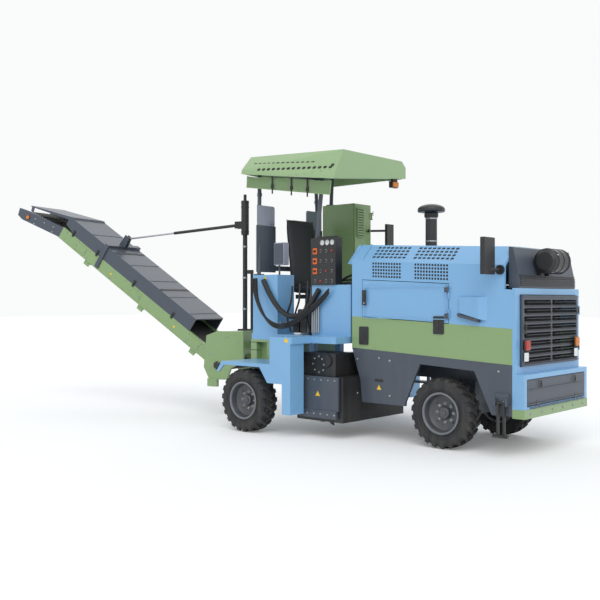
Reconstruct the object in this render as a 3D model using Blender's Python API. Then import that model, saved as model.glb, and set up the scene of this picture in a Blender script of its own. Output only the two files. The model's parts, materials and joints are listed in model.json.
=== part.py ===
"""Compact wheeled cold planer with a rear-loading discharge conveyor.

Machine axes: +X forward (engine end), +Y to the machine's left, +Z up, metres.
Stations are first laid out from the front axle (X = 0); the last step moves the
whole machine so that its origin is the bottom centre of its bounding box.
"""

import math

import bmesh
import bpy
from mathutils import Matrix, Vector

# ------------------------------------------------------------------ driving dimensions
GAP = 0.0003                 # clearance between pieces that touch
TYRE_R = 0.35                # tyre radius
TYRE_W = 0.22                # tyre width
RIM_R = 0.195                # rim seat radius
REAR_AXLE_X = -2.228         # rear axle, from the front axle
FRONT_WHEEL_Y = 0.574        # centre plane of a front wheel
REAR_WHEEL_Y = 1.098         # centre plane of a rear wheel
KINGPIN_Y = 0.42             # steering axis of a front knuckle

HALF_W = 0.684               # half width of the engine body
BODY_REAR = -1.09            # rear face of the engine body
BODY_FRONT = 0.78            # front face of the engine body
FALL = 0.0505                # how far the body lines fall per metre forward
SHEET = 0.03                 # thickness of body panels
Z_SKIRT = 0.39               # bottom of the skirt
Z_GREEN = 0.904              # skirt / green band seam, at the front axle
Z_BLUE = 1.238               # green band / blue panel seam, at the front axle
Z_DOOR = 1.633               # top seam of the side door, at the front axle
Z_CREASE = 1.827             # shoulder crease, at the front axle
Z_HOOD = 2.005               # hood top, at the front axle
HOOD_HALF = 0.50             # half width of the hood's flat top
DOOR_X0, DOOR_X1 = -0.957, 0.107
DOOR_HINGES = (1.33, 1.52)   # heights of the side doors' hinges

RAIL_Z0, RAIL_Z1 = 0.66, 0.79
RAIL_Y0, RAIL_Y1 = 0.20, 0.28

DRUM_X, DRUM_Z = -1.34, 0.36          # drum axis
DRUM_R, TOOL_R = 0.195, 0.25         # drum body and tool tip radii
DRUM_Y0, DRUM_Y1 = -0.88, 0.12        # milling width 1.0 m
HOUSE_X0, HOUSE_X1 = -1.66, -1.02
HOUSE_Z0, HOUSE_Z1 = 0.18, 0.655

GRILLE_HINGES = (1.00, 1.36)
LID_HINGES = (-0.42, 0.42)
CABINET_HINGES = (2.12, 2.52)
CABINET_Z1 = 2.66                    # top of the control cabinet

DECK_Z0, DECK_Z1 = 1.00, 1.07
DECK_REAR = -2.64
FENDER_Y = 1.215

SLEW_X = -2.76               # slew axis of the conveyor
SLEW_REST = 15.0             # degrees towards the machine's right, as it stands
LUFF_S, LUFF_Z = 0.70, 0.647  # luff pivot: behind the slew axis, above the ground
LUFF_REST = 34.0             # conveyor slope as it stands
HEAD_DROP = 13.0             # how much flatter the head section lies
BEAM_L = 3.16                # luff pivot to knee
HEAD_L = 0.86                # knee to tip
BEAM_Y0, BEAM_Y1 = 0.29, 0.33
BEAM_H = 0.085               # half height of a side beam
STAY_X, STAY_Z = 2.356, 0.417  # stay eye on the conveyor, along and above the beams
STAY_BORE, STAY_TRAVEL = 0.05, 0.13  # closed end of the stay's bore, and how far its rod can still go in
MAST_S = 0.53                # mast behind the slew axis
MAST_PIN_Z = 2.43            # stay pin height on the mast

COLOURS = {
    "blue": (0.24, 0.50, 0.79, 0.35, 0.0),
    "green": (0.29, 0.42, 0.20, 0.4, 0.0),
    "slate": (0.07, 0.085, 0.11, 0.45, 0.0),
    "black": (0.015, 0.015, 0.017, 0.5, 0.0),
    "rubber": (0.02, 0.02, 0.02, 0.85, 0.0),
    "rim": (0.10, 0.11, 0.12, 0.4, 0.3),
    "steel": (0.45, 0.45, 0.46, 0.3, 1.0),
    "iron": (0.12, 0.12, 0.12, 0.6, 0.6),
    "belt": (0.025, 0.025, 0.026, 0.8, 0.0),
    "sheet": (0.50, 0.52, 0.62, 0.15, 0.0),
    "amber": (0.80, 0.30, 0.03, 0.2, 0.0),
    "fabric": (0.03, 0.033, 0.04, 0.9, 0.0),
    "curtain": (0.36, 0.50, 0.25, 0.7, 0.0),
}


# ------------------------------------------------------------------ primitives
def clear_scene():
    for old in list(bpy.data.objects):
        bpy.data.objects.remove(old, do_unlink=True)


def material(kind):
    found = bpy.data.materials.get(kind)
    if found:
        return found
    red, green, blue, rough, metal = COLOURS[kind]
    made = bpy.data.materials.new(kind)
    made.use_nodes = True
    shader = made.node_tree.nodes["Principled BSDF"]
    shader.inputs["Base Color"].default_value = (red, green, blue, 1.0)
    shader.inputs["Roughness"].default_value = rough
    shader.inputs["Metallic"].default_value = metal
    return made


def mesh_object(name, bm):
    bmesh.ops.recalc_face_normals(bm, faces=bm.faces)
    mesh = bpy.data.meshes.new(name)
    bm.to_mesh(mesh)
    bm.free()
    obj = bpy.data.objects.new(name, mesh)
    bpy.context.scene.collection.objects.link(obj)
    return obj


def prism(points, low, high, axis="y"):
    """A closed outline, extruded along an axis. The outline is (x, z) for y, (y, z) for x, (x, y) for z."""
    bm = bmesh.new()
    spot = {
        "y": lambda a, b, c: (a, c, b),
        "x": lambda a, b, c: (c, a, b),
        "z": lambda a, b, c: (a, b, c),
    }[axis]
    near = [bm.verts.new(spot(a, b, low)) for a, b in points]
    far = [bm.verts.new(spot(a, b, high)) for a, b in points]
    bm.faces.new(near)
    bm.faces.new(far[::-1])
    for i in range(len(points)):
        j = (i + 1) % len(points)
        bm.faces.new((near[i], near[j], far[j], far[i]))
    return mesh_object("piece", bm)


def box(x0, x1, y0, y1, z0, z1):
    return prism([(x0, z0), (x1, z0), (x1, z1), (x0, z1)], y0, y1)


def loft(x0, x1, y0, y1, low, high):
    """A box whose bottom and top follow the fall of the body lines; low and high hold at the front axle."""
    ends = [(x, z - FALL * x) for z, xs in ((low, (x0, x1)), (high, (x1, x0))) for x in xs]
    return prism(ends, y0, y1)


def lathe(profile, steps=32, axis="y", at=(0, 0, 0)):
    """A closed (radius, along) outline turned about an axis. A radius of 0 closes on the axis."""
    bm = bmesh.new()
    rings = []
    for radius, along in profile:
        if radius < 1e-6:
            rings.append([bm.verts.new((0, 0, along))])
            continue
        rings.append([
            bm.verts.new((
                radius * math.cos(math.tau * i / steps),
                radius * math.sin(math.tau * i / steps),
                along,
            ))
            for i in range(steps)
        ])
    closed = list(zip(rings, rings[1:] + rings[:1]))
    for one, two in closed:
        if len(one) == 1 and len(two) == 1:
            continue
        for i in range(steps):
            j = (i + 1) % steps
            corners = []
            for vert in (one[i % len(one)], one[j % len(one)], two[j % len(two)], two[i % len(two)]):
                if vert not in corners:
                    corners.append(vert)
            bm.faces.new(corners)
    turn = {
        "z": Matrix.Identity(4),
        "y": Matrix.Rotation(math.radians(-90), 4, "X"),
        "x": Matrix.Rotation(math.radians(90), 4, "Y"),
    }[axis]
    bmesh.ops.transform(bm, matrix=Matrix.Translation(at) @ turn, verts=bm.verts)
    return mesh_object("piece", bm)


def rod(radius, start, end, steps=16):
    """A round bar between two points."""
    start, end = Vector(start), Vector(end)
    along = end - start
    made = lathe([(0, 0), (radius, 0), (radius, along.length), (0, along.length)], steps, "z")
    made.data.transform(Matrix.Translation(start) @ along.to_track_quat("Z", "Y").to_matrix().to_4x4())
    return made


def hose(points, radius, steps=10):
    """A round hose swept through points, closed at both ends."""
    points = [Vector(p) for p in points]
    bm = bmesh.new()
    rings = []
    side = None
    for i, point in enumerate(points):
        ahead = points[min(i + 1, len(points) - 1)] - points[max(i - 1, 0)]
        ahead.normalize()
        if side is None:
            side = ahead.orthogonal().normalized()
        side = (side - ahead * side.dot(ahead)).normalized()
        other = ahead.cross(side)
        rings.append([
            bm.verts.new(point + radius * (math.cos(a) * side + math.sin(a) * other))
            for a in (math.tau * k / steps for k in range(steps))
        ])
    for one, two in zip(rings, rings[1:]):
        for k in range(steps):
            m = (k + 1) % steps
            bm.faces.new((one[k], one[m], two[m], two[k]))
    bm.faces.new(rings[0])
    bm.faces.new(rings[-1])
    return mesh_object("piece", bm)


def bend(ends, sag, count=12):
    """Points of a hanging run between two ends, dropped by sag at its middle."""
    start, end = Vector(ends[0]), Vector(ends[1])
    run = []
    for i in range(count + 1):
        t = i / count
        point = start.lerp(end, t)
        point.z -= 4 * sag * t * (1 - t)
        run.append(tuple(point))
    return run


def fuse(name, kind, pieces, cuts=(), smooth=False, at=None, turn=None):
    """Joins pieces into one closed body, cuts others out of it, and names it.

    With at, the body's origin is that point and the pieces are given about it;
    turn is the body's rotation there.
    """
    body = pieces[0]
    for other, operation in [(p, "UNION") for p in pieces[1:]] + [(c, "DIFFERENCE") for c in cuts]:
        step = body.modifiers.new(operation, "BOOLEAN")
        step.operation = operation
        step.solver = "EXACT"
        step.object = other
    bpy.context.view_layer.update()
    graph = bpy.context.evaluated_depsgraph_get()
    mesh = bpy.data.meshes.new_from_object(body.evaluated_get(graph))
    for old in list(pieces) + list(cuts):
        bpy.data.objects.remove(old, do_unlink=True)
    bm = bmesh.new()
    bm.from_mesh(mesh)
    bmesh.ops.remove_doubles(bm, verts=bm.verts, dist=0.00002)
    bmesh.ops.dissolve_limit(bm, angle_limit=math.radians(0.5), verts=bm.verts, edges=bm.edges)
    bm.to_mesh(mesh)
    bm.free()
    mesh.name = name
    made = bpy.data.objects.new(name, mesh)
    bpy.context.scene.collection.objects.link(made)
    mesh.materials.clear()
    mesh.materials.append(material(kind))
    for face in mesh.polygons:
        face.use_smooth = smooth
        face.material_index = 0
    if at is not None:
        made.location = at
    if turn is not None:
        made.rotation_euler = turn
    return made


def barrel(axis, centre, half, radius=0.007):
    """Hinge barrel of one leaf, centred on its axis."""
    start, end = Vector(centre), Vector(centre)
    start["xyz".index(axis)] -= half
    end["xyz".index(axis)] += half
    return rod(radius, start, end, 12)


def lugs(axis, low, high, half, at):
    """Two lugs that hold a barrel between them. low and high bound each lug across the axis."""
    index = "xyz".index(axis)
    found = []
    for sign in (-1, 1):
        lo, hi = list(low), list(high)
        ends = sorted((at + sign * (half + 0.0005), at + sign * (half + 0.0145)))
        lo[index], hi[index] = ends
        found.append(box(lo[0], hi[0], lo[1], hi[1], lo[2], hi[2]))
    return found


def span(side, one, two):
    """The pair of y stations on one side of the machine, low first."""
    return sorted((side * one, side * two))


def moved(pieces, dx=0.0, dy=0.0, dz=0.0):
    for piece in pieces:
        piece.data.transform(Matrix.Translation((dx, dy, dz)))
    return pieces


# ------------------------------------------------------------------ running gear
def wheel(tag, x, y, side):
    """Tyre and rim. side is -1 on the right and +1 on the left; the rim's dish faces outward."""
    half = TYRE_W / 2
    tyre = [
        (RIM_R + GAP, -half * 0.72), (0.235, -half), (0.310, -half * 0.98),
        (TYRE_R, -half * 0.72), (TYRE_R, half * 0.72), (0.310, half * 0.98),
        (0.235, half), (RIM_R + GAP, half * 0.72),
    ]
    fuse("tyre_" + tag, "rubber", [lathe(tyre, 28)], smooth=True, at=(x, y, TYRE_R))
    out = side * half
    rim = [
        (0, out * 0.40), (0.062, out * 0.40), (0.070, out * 0.18), (0.150, out * 0.22),
        (0.172, out * 0.76), (RIM_R, out * 0.76), (RIM_R, -out * 0.72),
        (0.172, -out * 0.72), (0.145, -out * 0.10), (0.065, -out * 0.10),
        (0.065, -out * 0.55), (0, -out * 0.55),
    ]
    fuse("rim_" + tag, "rim", [lathe(rim, 28)], smooth=True, at=(x, y, TYRE_R))


def wheels():
    for tag, x, y, side in (
        ("front_right", 0.0, -FRONT_WHEEL_Y, -1),
        ("front_left", 0.0, FRONT_WHEEL_Y, 1),
        ("rear_right", REAR_AXLE_X, -REAR_WHEEL_Y, -1),
        ("rear_left", REAR_AXLE_X, REAR_WHEEL_Y, 1),
    ):
        wheel(tag, x, y, side)


def front_axle():
    beam = [
        box(-0.07, 0.07, -0.36, 0.36, 0.29, 0.41),
        box(-0.09, 0.09, -0.16, 0.16, 0.40, RAIL_Z0 - 0.06),
    ]
    for side in (-1, 1):
        low, high = sorted((side * 0.35, side * 0.47))
        beam += [box(-0.05, 0.05, low, high, z, z + 0.03) for z in (0.29, 0.38)]
    fuse("front_axle", "slate", beam)
    for tag, side in (("right", -1), ("left", 1)):
        stub = side * (FRONT_WHEEL_Y - TYRE_W / 2 * 0.55 - GAP - KINGPIN_Y)
        fuse(
            "knuckle_" + tag, "iron",
            [
                lathe([(0, -0.0295), (0.042, -0.0295), (0.042, 0.0295), (0, 0.0295)], 20, "z"),
                lathe([(0, side * 0.012), (0.024, side * 0.012), (0.024, side * 0.078), (0.036, side * 0.078),
                       (0.036, stub), (0, stub)], 16, "y"),
                box(-0.12, 0.0, min(0, side * -0.022), max(0, side * -0.022) + 0.001, -0.018, 0.018),
            ],
            at=(0, side * KINGPIN_Y, TYRE_R),
        )


def rear_legs():
    """Each rear wheel hangs on a lifting column under the deck, with an arm to its hub."""
    hub = REAR_WHEEL_Y - TYRE_W / 2 * 0.55 - GAP
    x = REAR_AXLE_X
    parts = []
    for side in (-1, 1):
        parts += [
            box(x - 0.09, x + 0.09, *span(side, 0.80, 0.94), 0.26, 0.60),
            rod(0.062, (x, side * 0.87, 0.55), (x, side * 0.87, 0.74), 14),
            box(x - 0.10, x + 0.10, *span(side, 0.24, 0.93), 0.67, 0.755),
            rod(0.045, (x, side * 0.92, TYRE_R), (x, side * hub, TYRE_R), 14),
        ]
    return parts


# ------------------------------------------------------------------ frame and engine body
def main_frame():
    rails = [box(-2.64, 0.74, *sorted((s * RAIL_Y0, s * RAIL_Y1)), RAIL_Z0, RAIL_Z1) for s in (-1, 1)]
    cross = [box(x - 0.05, x + 0.05, -0.24, 0.24, RAIL_Z0 + 0.02, RAIL_Z1 - 0.02) for x in (-2.50, -0.86, 0.0, 0.66)]
    pedestal = [box(-0.11, 0.11, -0.19, 0.19, RAIL_Z0 - 0.06 + GAP, RAIL_Z0 + 0.04)]
    ribs = []
    for x in (-0.93, 0.70):
        ribs.append(box(x - 0.03, x + 0.03, -HALF_W + SHEET + GAP, HALF_W - SHEET - GAP, 0.68, 0.74))
    fuse("main_frame", "slate", rails + cross + pedestal + ribs + rear_legs())


def engine():
    fuse("engine_block", "iron", [
        box(-0.64, 0.36, -0.22, 0.22, RAIL_Z1 + GAP, 1.45),
        box(0.40 - 0.05, 0.62, -0.16, 0.16, 0.90, 1.30),
        box(-0.50, 0.30, -0.30, 0.30, 1.00, 1.25),
        box(0.60, 0.66, -0.10, 0.10, 1.05, 1.15),
        box(0.655, 0.695, -0.52, 0.52, RAIL_Z1 + GAP, 1.50),
    ])


def skirt():
    """Slate skirt: both sides and the rear wall, with the arches of the front wheels cut out."""
    sides = [
        prism(
            [
                (BODY_REAR, Z_GREEN - FALL * BODY_REAR), (-0.98, 0.62), (-0.955, Z_SKIRT),
                (BODY_FRONT, Z_SKIRT), (BODY_FRONT, Z_GREEN - FALL * BODY_FRONT),
            ],
            *sorted((s * HALF_W, s * (HALF_W - SHEET))),
        )
        for s in (-1, 1)
    ]
    wall = prism(
        [
            (BODY_REAR + 0.004, Z_GREEN - FALL * BODY_REAR), (-1.035, RAIL_Z1 + 0.002), (-1.000, RAIL_Z1 + 0.002),
            (BODY_REAR + SHEET + 0.004, Z_GREEN - FALL * (BODY_REAR + SHEET)),
        ],
        -HALF_W + 0.01, HALF_W - 0.01,
    )
    arch = prism(
        [(-0.415, Z_SKIRT - 0.1), (-0.405, 0.43), (-0.230, 0.825), (0.382, 0.790), (0.578, Z_SKIRT - 0.02),
         (0.59, Z_SKIRT - 0.1)],
        -HALF_W - 0.1, HALF_W + 0.1,
    )
    bracket = [
        box(0.615, 0.755, -HALF_W - 0.016, -HALF_W + 0.01, 0.50, 0.60),
        box(0.615, 0.635, -HALF_W - 0.055, -HALF_W + 0.01, 0.485, 0.56),
        box(0.735, 0.755, -HALF_W - 0.055, -HALF_W + 0.01, 0.485, 0.56),
    ]
    fuse("skirt", "slate", sides + [wall] + bracket, [arch])


def green_band():
    sides = [
        loft(BODY_REAR, BODY_FRONT, *sorted((s * HALF_W, s * (HALF_W - SHEET))), Z_GREEN + GAP, Z_BLUE)
        for s in (-1, 1)
    ]
    wall = loft(BODY_REAR, BODY_REAR + SHEET, -HALF_W + 0.01, HALF_W - 0.01, Z_GREEN + GAP, Z_BLUE)
    fuse("green_band", "green", sides + [wall])


def section(half, low, crease, top, top_half):
    return [(-half, low), (half, low), (half, crease), (top_half, top), (-top_half, top), (-half, crease)]


def sloped(obj):
    """Lets a straight extrusion follow the fall of the body lines."""
    for vert in obj.data.vertices:
        vert.co.z -= FALL * vert.co.x
    return obj


def hood():
    """Blue upper body: hollow, open below and in front, with an opening for each side door."""
    outer = sloped(prism(
        section(HALF_W, Z_BLUE + GAP, Z_CREASE, Z_HOOD, HOOD_HALF), BODY_REAR, 0.70, "x"))
    inner = sloped(prism(
        section(HALF_W - SHEET, Z_BLUE - 0.1, Z_CREASE - 0.012, Z_HOOD - SHEET, HOOD_HALF - 0.012),
        BODY_REAR + SHEET, 0.72, "x"))
    tail = prism(
        [(-1.26, 1.86), (BODY_REAR + 0.01, 1.84), (BODY_REAR + 0.01, 2.052), (BODY_REAR - 0.01, 2.052)],
        -HOOD_HALF - 0.05, HOOD_HALF + 0.05,
    )
    doors = [
        loft(DOOR_X0, DOOR_X1, *sorted((s * (HALF_W + 0.1), s * (HALF_W - SHEET - 0.05))), Z_BLUE - 0.2, Z_DOOR)
        for s in (-1, 1)
    ]
    post = [
        loft(0.70 - 0.02, BODY_FRONT, *sorted((s * HALF_W, s * (HALF_W - SHEET))), Z_BLUE + GAP, 1.60)
        for s in (-1, 1)
    ]
    hinges = []
    for s in (-1, 1):
        y0, y1 = span(s, HALF_W - 0.005, HALF_W + 0.018)
        for z in DOOR_HINGES:
            hinges += lugs("z", (DOOR_X1 - 0.004, y0, 0), (DOOR_X1 + 0.014, y1, 0), 0.03, z)
    stack = lathe([(0, 1.5), (0.064, 1.5), (0.064, 2.6), (0, 2.6)], 20, "z", (-0.54, 0.0, 0.0))
    shell = fuse("shell", "blue", [outer, tail] + post, [inner] + doors + [stack])
    fuse("hood", "blue", [shell] + hinges)


def engine_doors():
    """One door a side, hung on its front edge and swinging outward to the front."""
    x_axis, y_axis = DOOR_X1 + 0.004, HALF_W + 0.009
    for tag, side in (("right", -1), ("left", 1)):
        x1 = DOOR_X1 - 0.006
        pieces = [
            loft(DOOR_X0 + 0.006, x1, *span(side, HALF_W, HALF_W - 0.022), Z_BLUE + 0.006, Z_DOOR - 0.006),
            box(-0.925, -0.895, *span(side, HALF_W - 0.002, HALF_W + 0.022), 1.42, 1.56),
        ]
        for z in DOOR_HINGES:
            pieces.append(barrel("z", (x_axis, side * y_axis, z), 0.03))
            pieces.append(box(x1 - 0.03, x_axis, *span(side, HALF_W + 0.0005, HALF_W + 0.005), z - 0.028, z + 0.028))
            pieces.append(box(x1 - 0.04, x1 - 0.001, *span(side, HALF_W - 0.002, HALF_W + 0.004), z - 0.02, z + 0.02))
        moved(pieces, dx=-x_axis, dy=-side * y_axis)
        fuse("engine_door_" + tag, "blue", pieces, at=(x_axis, side * y_axis, 0))


def nose():
    """Front end: blue surround, dark upper cap, louvred grille door, lower tool box and its lid."""
    frame = box(BODY_FRONT + GAP, BODY_FRONT + 0.035, -HALF_W, HALF_W, 0.775, 1.575)
    window = box(BODY_FRONT - 0.1, BODY_FRONT + 0.1, -0.605, 0.605, 0.845, 1.515)

    x0, x1 = BODY_FRONT + 0.037, BODY_FRONT + 0.060
    ring = box(x0, x1, -0.60, 0.60, 0.85, 1.51)
    slots = [
        box(x0 - 0.1, x1 + 0.1, y0, y0 + 0.55, 0.885 + i * 0.0765, 0.885 + i * 0.0765 + 0.045)
        for i in range(8) for y0 in (-0.565, 0.015)
    ]
    door = fuse("louvres", "slate", [ring], slots)
    x_axis, y_axis = BODY_FRONT + 0.068, 0.613
    pieces = [door]
    for z in GRILLE_HINGES:
        pieces.append(barrel("z", (x_axis, y_axis, z), 0.03))
        pieces.append(box(x1 - 0.002, x1 + 0.005, 0.575, y_axis, z - 0.028, z + 0.028))
    moved(pieces, dx=-x_axis, dy=-y_axis)
    fuse("grille_door", "slate", pieces, at=(x_axis, y_axis, 0))

    cap = prism(
        [(0.70 + GAP, 1.577), (BODY_FRONT + 0.03, 1.577), (BODY_FRONT + 0.03, 1.66), (0.745, 1.955),
         (0.70 + GAP, 1.965)],
        -0.60, 0.60,
    )
    fuse("nose_cap", "slate", [cap])
    drum = [
        lathe([(0, -0.17), (0.085, -0.17), (0.095, -0.16), (0.118, -0.15), (0.118, 0.12), (0.105, 0.14),
               (0.060, 0.155), (0.060, 0.19), (0, 0.19)], 24, "y", (0.905, -0.12, 1.835)),
        box(0.79, 0.84, -0.22, -0.16, 1.70, 1.80),
        box(0.79, 0.84, -0.06, 0.0, 1.70, 1.80),
    ]
    slope = prism([(0.60, 1.577), (BODY_FRONT + 0.03 + GAP, 1.577), (BODY_FRONT + 0.03 + GAP, 1.66),
                   (0.745 + GAP, 1.955), (0.6, 1.97)], -0.61, 0.61)
    fuse("air_cleaner", "black", drum, [slope], smooth=False)

    walls = box(BODY_FRONT + GAP, 0.90, -HALF_W, HALF_W, 0.46, 0.780)
    hollow = box(BODY_FRONT + 0.03, 0.95, -0.63, 0.63, 0.485, 0.735)
    held = []
    for z in GRILLE_HINGES:
        held += lugs("z", (BODY_FRONT + 0.03, 0.606, 0), (BODY_FRONT + 0.076, 0.620, 0), 0.03, z)
    for y in LID_HINGES:
        held += lugs("y", (0.89, 0, 0.4665), (0.916, 0, 0.4835), 0.03, y)
    body = fuse("surround", "blue", [frame, walls], [window, hollow])
    fuse("nose_frame", "blue", [body] + held)
    fuse("bumper_strip", "green", [
        box(BODY_FRONT + GAP, 0.905, -HALF_W, HALF_W, 0.375, 0.46 - GAP),
        box(0.70 + 0.002, BODY_FRONT + 0.02, -0.60, 0.60, 0.40, 0.45),
    ])
    x_axis, z_axis = 0.908, 0.475
    pieces = [box(0.882, 0.90, -0.622, 0.622, 0.492, 0.729)]
    for y in LID_HINGES:
        pieces.append(barrel("y", (x_axis, y, z_axis), 0.03))
        pieces.append(box(0.9005, 0.905, y - 0.028, y + 0.028, z_axis, 0.52))
        pieces.append(box(0.898, 0.904, y - 0.02, y + 0.02, 0.495, 0.53))
    moved(pieces, dx=-x_axis, dz=-z_axis)
    fuse("tool_box_lid", "slate", pieces, at=(x_axis, 0, z_axis))


def intake_stack():
    fuse("intake_stack", "black", [
        lathe(
            [(0, 1.45 + GAP), (0.062, 1.45 + GAP), (0.062, 2.40), (0.135, 2.405), (0.1475, 2.425), (0.1475, 2.455),
             (0.12, 2.485), (0.06, 2.50), (0, 2.503)],
            24, "z", (-0.54, 0.0, 0.0)),
    ], smooth=False)


def front_mirrors():
    for tag, side, y0, y1, z0, z1 in (
        ("right", -1, 0.76, 0.95, 1.70, 2.04),
        ("left", 1, 0.74, 0.88, 1.69, 1.86),
    ):
        ys = sorted((side * y0, side * y1))
        mid = side * (y0 + y1) / 2
        fuse("front_mirror_" + tag, "black", [
            box(0.60, 0.645, *ys, z0, z1),
            rod(0.018, (0.66, side * (HALF_W - 0.010), 1.745), (0.625, mid, 1.745), 12),
            lathe([(0, 0.001), (0.045, 0.001), (0.045, 0.02), (0, 0.02)] if side > 0 else
                  [(0, -0.02), (0.045, -0.02), (0.045, -0.001), (0, -0.001)], 16, "y",
                  (0.66, side * HALF_W, 1.745)),
        ], [box(0.2, 0.9, -HALF_W - GAP if side < 0 else 0.1, -0.1 if side < 0 else HALF_W + GAP, 1.5, 2.0)])


def step():
    """Folding step on the skirt's front right corner, swinging outward and up about its top edge."""
    fuse("folding_step", "iron", [
        rod(0.012, (-0.0495, 0, 0), (0.0495, 0, 0), 12),
        box(-0.042, -0.020, -0.010, 0.010, -0.30, 0.0),
        box(0.020, 0.042, -0.010, 0.010, -0.30, 0.0),
        box(-0.075, 0.075, -0.030, 0.012, -0.32, -0.295),
    ], at=(0.685, -HALF_W - 0.035, 0.515))


# ------------------------------------------------------------------ milling unit
def drum_housing():
    """Box round the drum, open below, with guides for the side plates and lugs for the rear gate."""
    x, z = DRUM_X, DRUM_Z
    shell = box(HOUSE_X0, HOUSE_X1, -0.925, 0.165, HOUSE_Z0, HOUSE_Z1)
    bore = lathe([(0, -0.895), (0.275, -0.895), (0.275, 0.135), (0, 0.135)], 28, "y", (x, 0, z))
    mouth = box(x - 0.27, x + 0.27, -0.895, 0.135, HOUSE_Z0 - 0.1, z)
    chute = box(HOUSE_X0 - 0.1, x - 0.2, -0.60, 0.10, 0.34, 0.46)
    shafts = lathe([(0, -1.0), (0.0608, -1.0), (0.0608, 0.3), (0, 0.3)], 28, "y", (x, 0, z))
    hollow = fuse("housing", "black", [shell], [bore, mouth, chute, shafts])
    added = [box(gx, gx + 0.03, y0, y1, 0.32, 0.65)
             for gx in (-1.59, -1.12) for y0, y1 in ((-0.9305, -0.92), (0.16, 0.1705))]
    added += lugs("y", (HOUSE_X0 - 0.028, 0, 0.475), (HOUSE_X0 + 0.01, 0, 0.505), 0.41, -0.29)
    added.append(box(-1.60, -1.08, -RAIL_Y1, -RAIL_Y0, HOUSE_Z1 - 0.014, RAIL_Z0 - GAP))
    added += [box(gx, gx + 0.03, 0.15, RAIL_Y1, 0.60, RAIL_Z0 - GAP) for gx in (HOUSE_X0, HOUSE_X1 - 0.03)]
    fuse("drum_housing", "black", [hollow] + added)


def milling_drum():
    """Drum body, end shafts and a helix of tool holders with round picks."""
    y0, y1 = DRUM_Y0, DRUM_Y1
    parts = [lathe([(0, y0 - 0.042), (0.06, y0 - 0.042), (0.06, y0), (DRUM_R, y0), (DRUM_R, y1), (0.06, y1),
                    (0.06, y1 + 0.042), (0, y1 + 0.042)], 28, "y")]
    count = 26
    for i in range(count):
        y = y0 + 0.035 + (y1 - y0 - 0.07) * i / (count - 1)
        turn = math.radians(137.0 * i)
        foot = Vector((math.cos(turn) * (DRUM_R - 0.012), y, math.sin(turn) * (DRUM_R - 0.012)))
        lean = turn + math.radians(14)
        tip = Vector((math.cos(lean) * TOOL_R, y, math.sin(lean) * TOOL_R))
        along = tip - foot
        pick = lathe([(0, 0), (0.020, 0), (0.020, along.length * 0.62), (0.004, along.length), (0, along.length)],
                     5, "z")
        pick.data.transform(Matrix.Translation(foot) @ along.to_track_quat("Z", "Y").to_matrix().to_4x4())
        parts.append(pick)
    fuse("milling_drum", "iron", parts, at=(DRUM_X, 0, DRUM_Z))


def side_plates():
    """Plates that ride on the road beside the drum and rise as it goes down."""
    for tag, y0, y1 in (("right", -0.955, -0.931), ("left", 0.171, 0.195)):
        plate = box(-1.62, -1.06, y0, y1, 0.30, 0.655)
        shoe = box(-1.60, -1.08, min(y0, y1) - (0.01 if y0 < 0 else 0), max(y0, y1) + (0 if y0 < 0 else 0.01),
                   0.215, 0.302)
        fuse("side_plate_" + tag, "slate", [plate, shoe])


def scraper():
    """Rear gate behind the drum, hung along its top edge."""
    y0, y1 = -0.70, 0.12
    gate = box(-0.016, 0.0, y0, y1, -0.25, -0.012)
    hinge = rod(0.012, (-0.008, y0, 0), (-0.008, y1, 0), 12)
    lip = box(-0.03, 0.0, y0 + 0.001, y1 - 0.001, -0.27, -0.24)
    fuse("scraper_gate", "slate", [gate, hinge, lip, box(-0.014, -0.002, y0 + 0.002, y1 - 0.002, -0.02, 0.0)],
         at=(HOUSE_X0 - 0.010, 0, 0.49))


def drum_drive():
    """Belt guard and valve block seen in the opening over the side plate."""
    fuse("drum_drive", "black", [
        box(-1.60, -1.14, -0.90, -0.55, HOUSE_Z1 + GAP, 0.90),
        rod(0.05, (-1.50, -0.905, 0.82), (-1.50, -0.60, 0.82)),
        rod(0.07, (-1.26, -0.92, 0.82), (-1.26, -0.60, 0.82)),
    ])


# ------------------------------------------------------------------ rear body and operator station
def fenders():
    """Arched panels over the rear wheels, with the column beside the drum."""
    parts = []
    for side in (-1, 1):
        panel = prism(
            [(-2.640, 0.655), (-2.600, 0.655), (-2.520, 0.735), (-1.955, 0.735), (-1.835, 0.57), (-1.62, 0.57),
             (-1.62, 0.25), (-1.50, 0.25), (-1.50, 1.01), (-1.78, 1.01), (-1.80, 0.775), (-2.55, 0.775)],
            *span(side, FENDER_Y, FENDER_Y - 0.025),
        )
        top = box(-2.54, -1.79, *span(side, FENDER_Y, 0.68), 0.762, 0.775)
        back = box(-1.80, -1.775, *span(side, FENDER_Y, 0.68), 0.762, 1.01)
        column = box(-1.62, -1.50, *span(side, FENDER_Y, 1.00), 0.25, 1.01)
        parts += [panel, top, back, column]
    return parts


def deck():
    """Platform the operator stands on, in one piece with both fenders and the boxes at its edges."""
    half, side = 0.645, FENDER_Y
    outline = [
        (DECK_REAR, -half), (-1.80, -half), (-1.80, -side), (-1.48, -side), (-1.48, -0.90), (-1.135, -0.90),
        (-1.135, 0.90), (-1.48, 0.90), (-1.48, side), (-1.80, side), (-1.80, half), (DECK_REAR, half),
    ]
    legs = [box(-2.06, -1.98, *span(s, RAIL_Y0, RAIL_Y1), RAIL_Z1 + GAP, 1.01) for s in (-1, 1)]
    fuse("operator_deck", "blue", [prism(outline, DECK_Z0, DECK_Z1, "z")] + legs + fenders() + risers())


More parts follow.
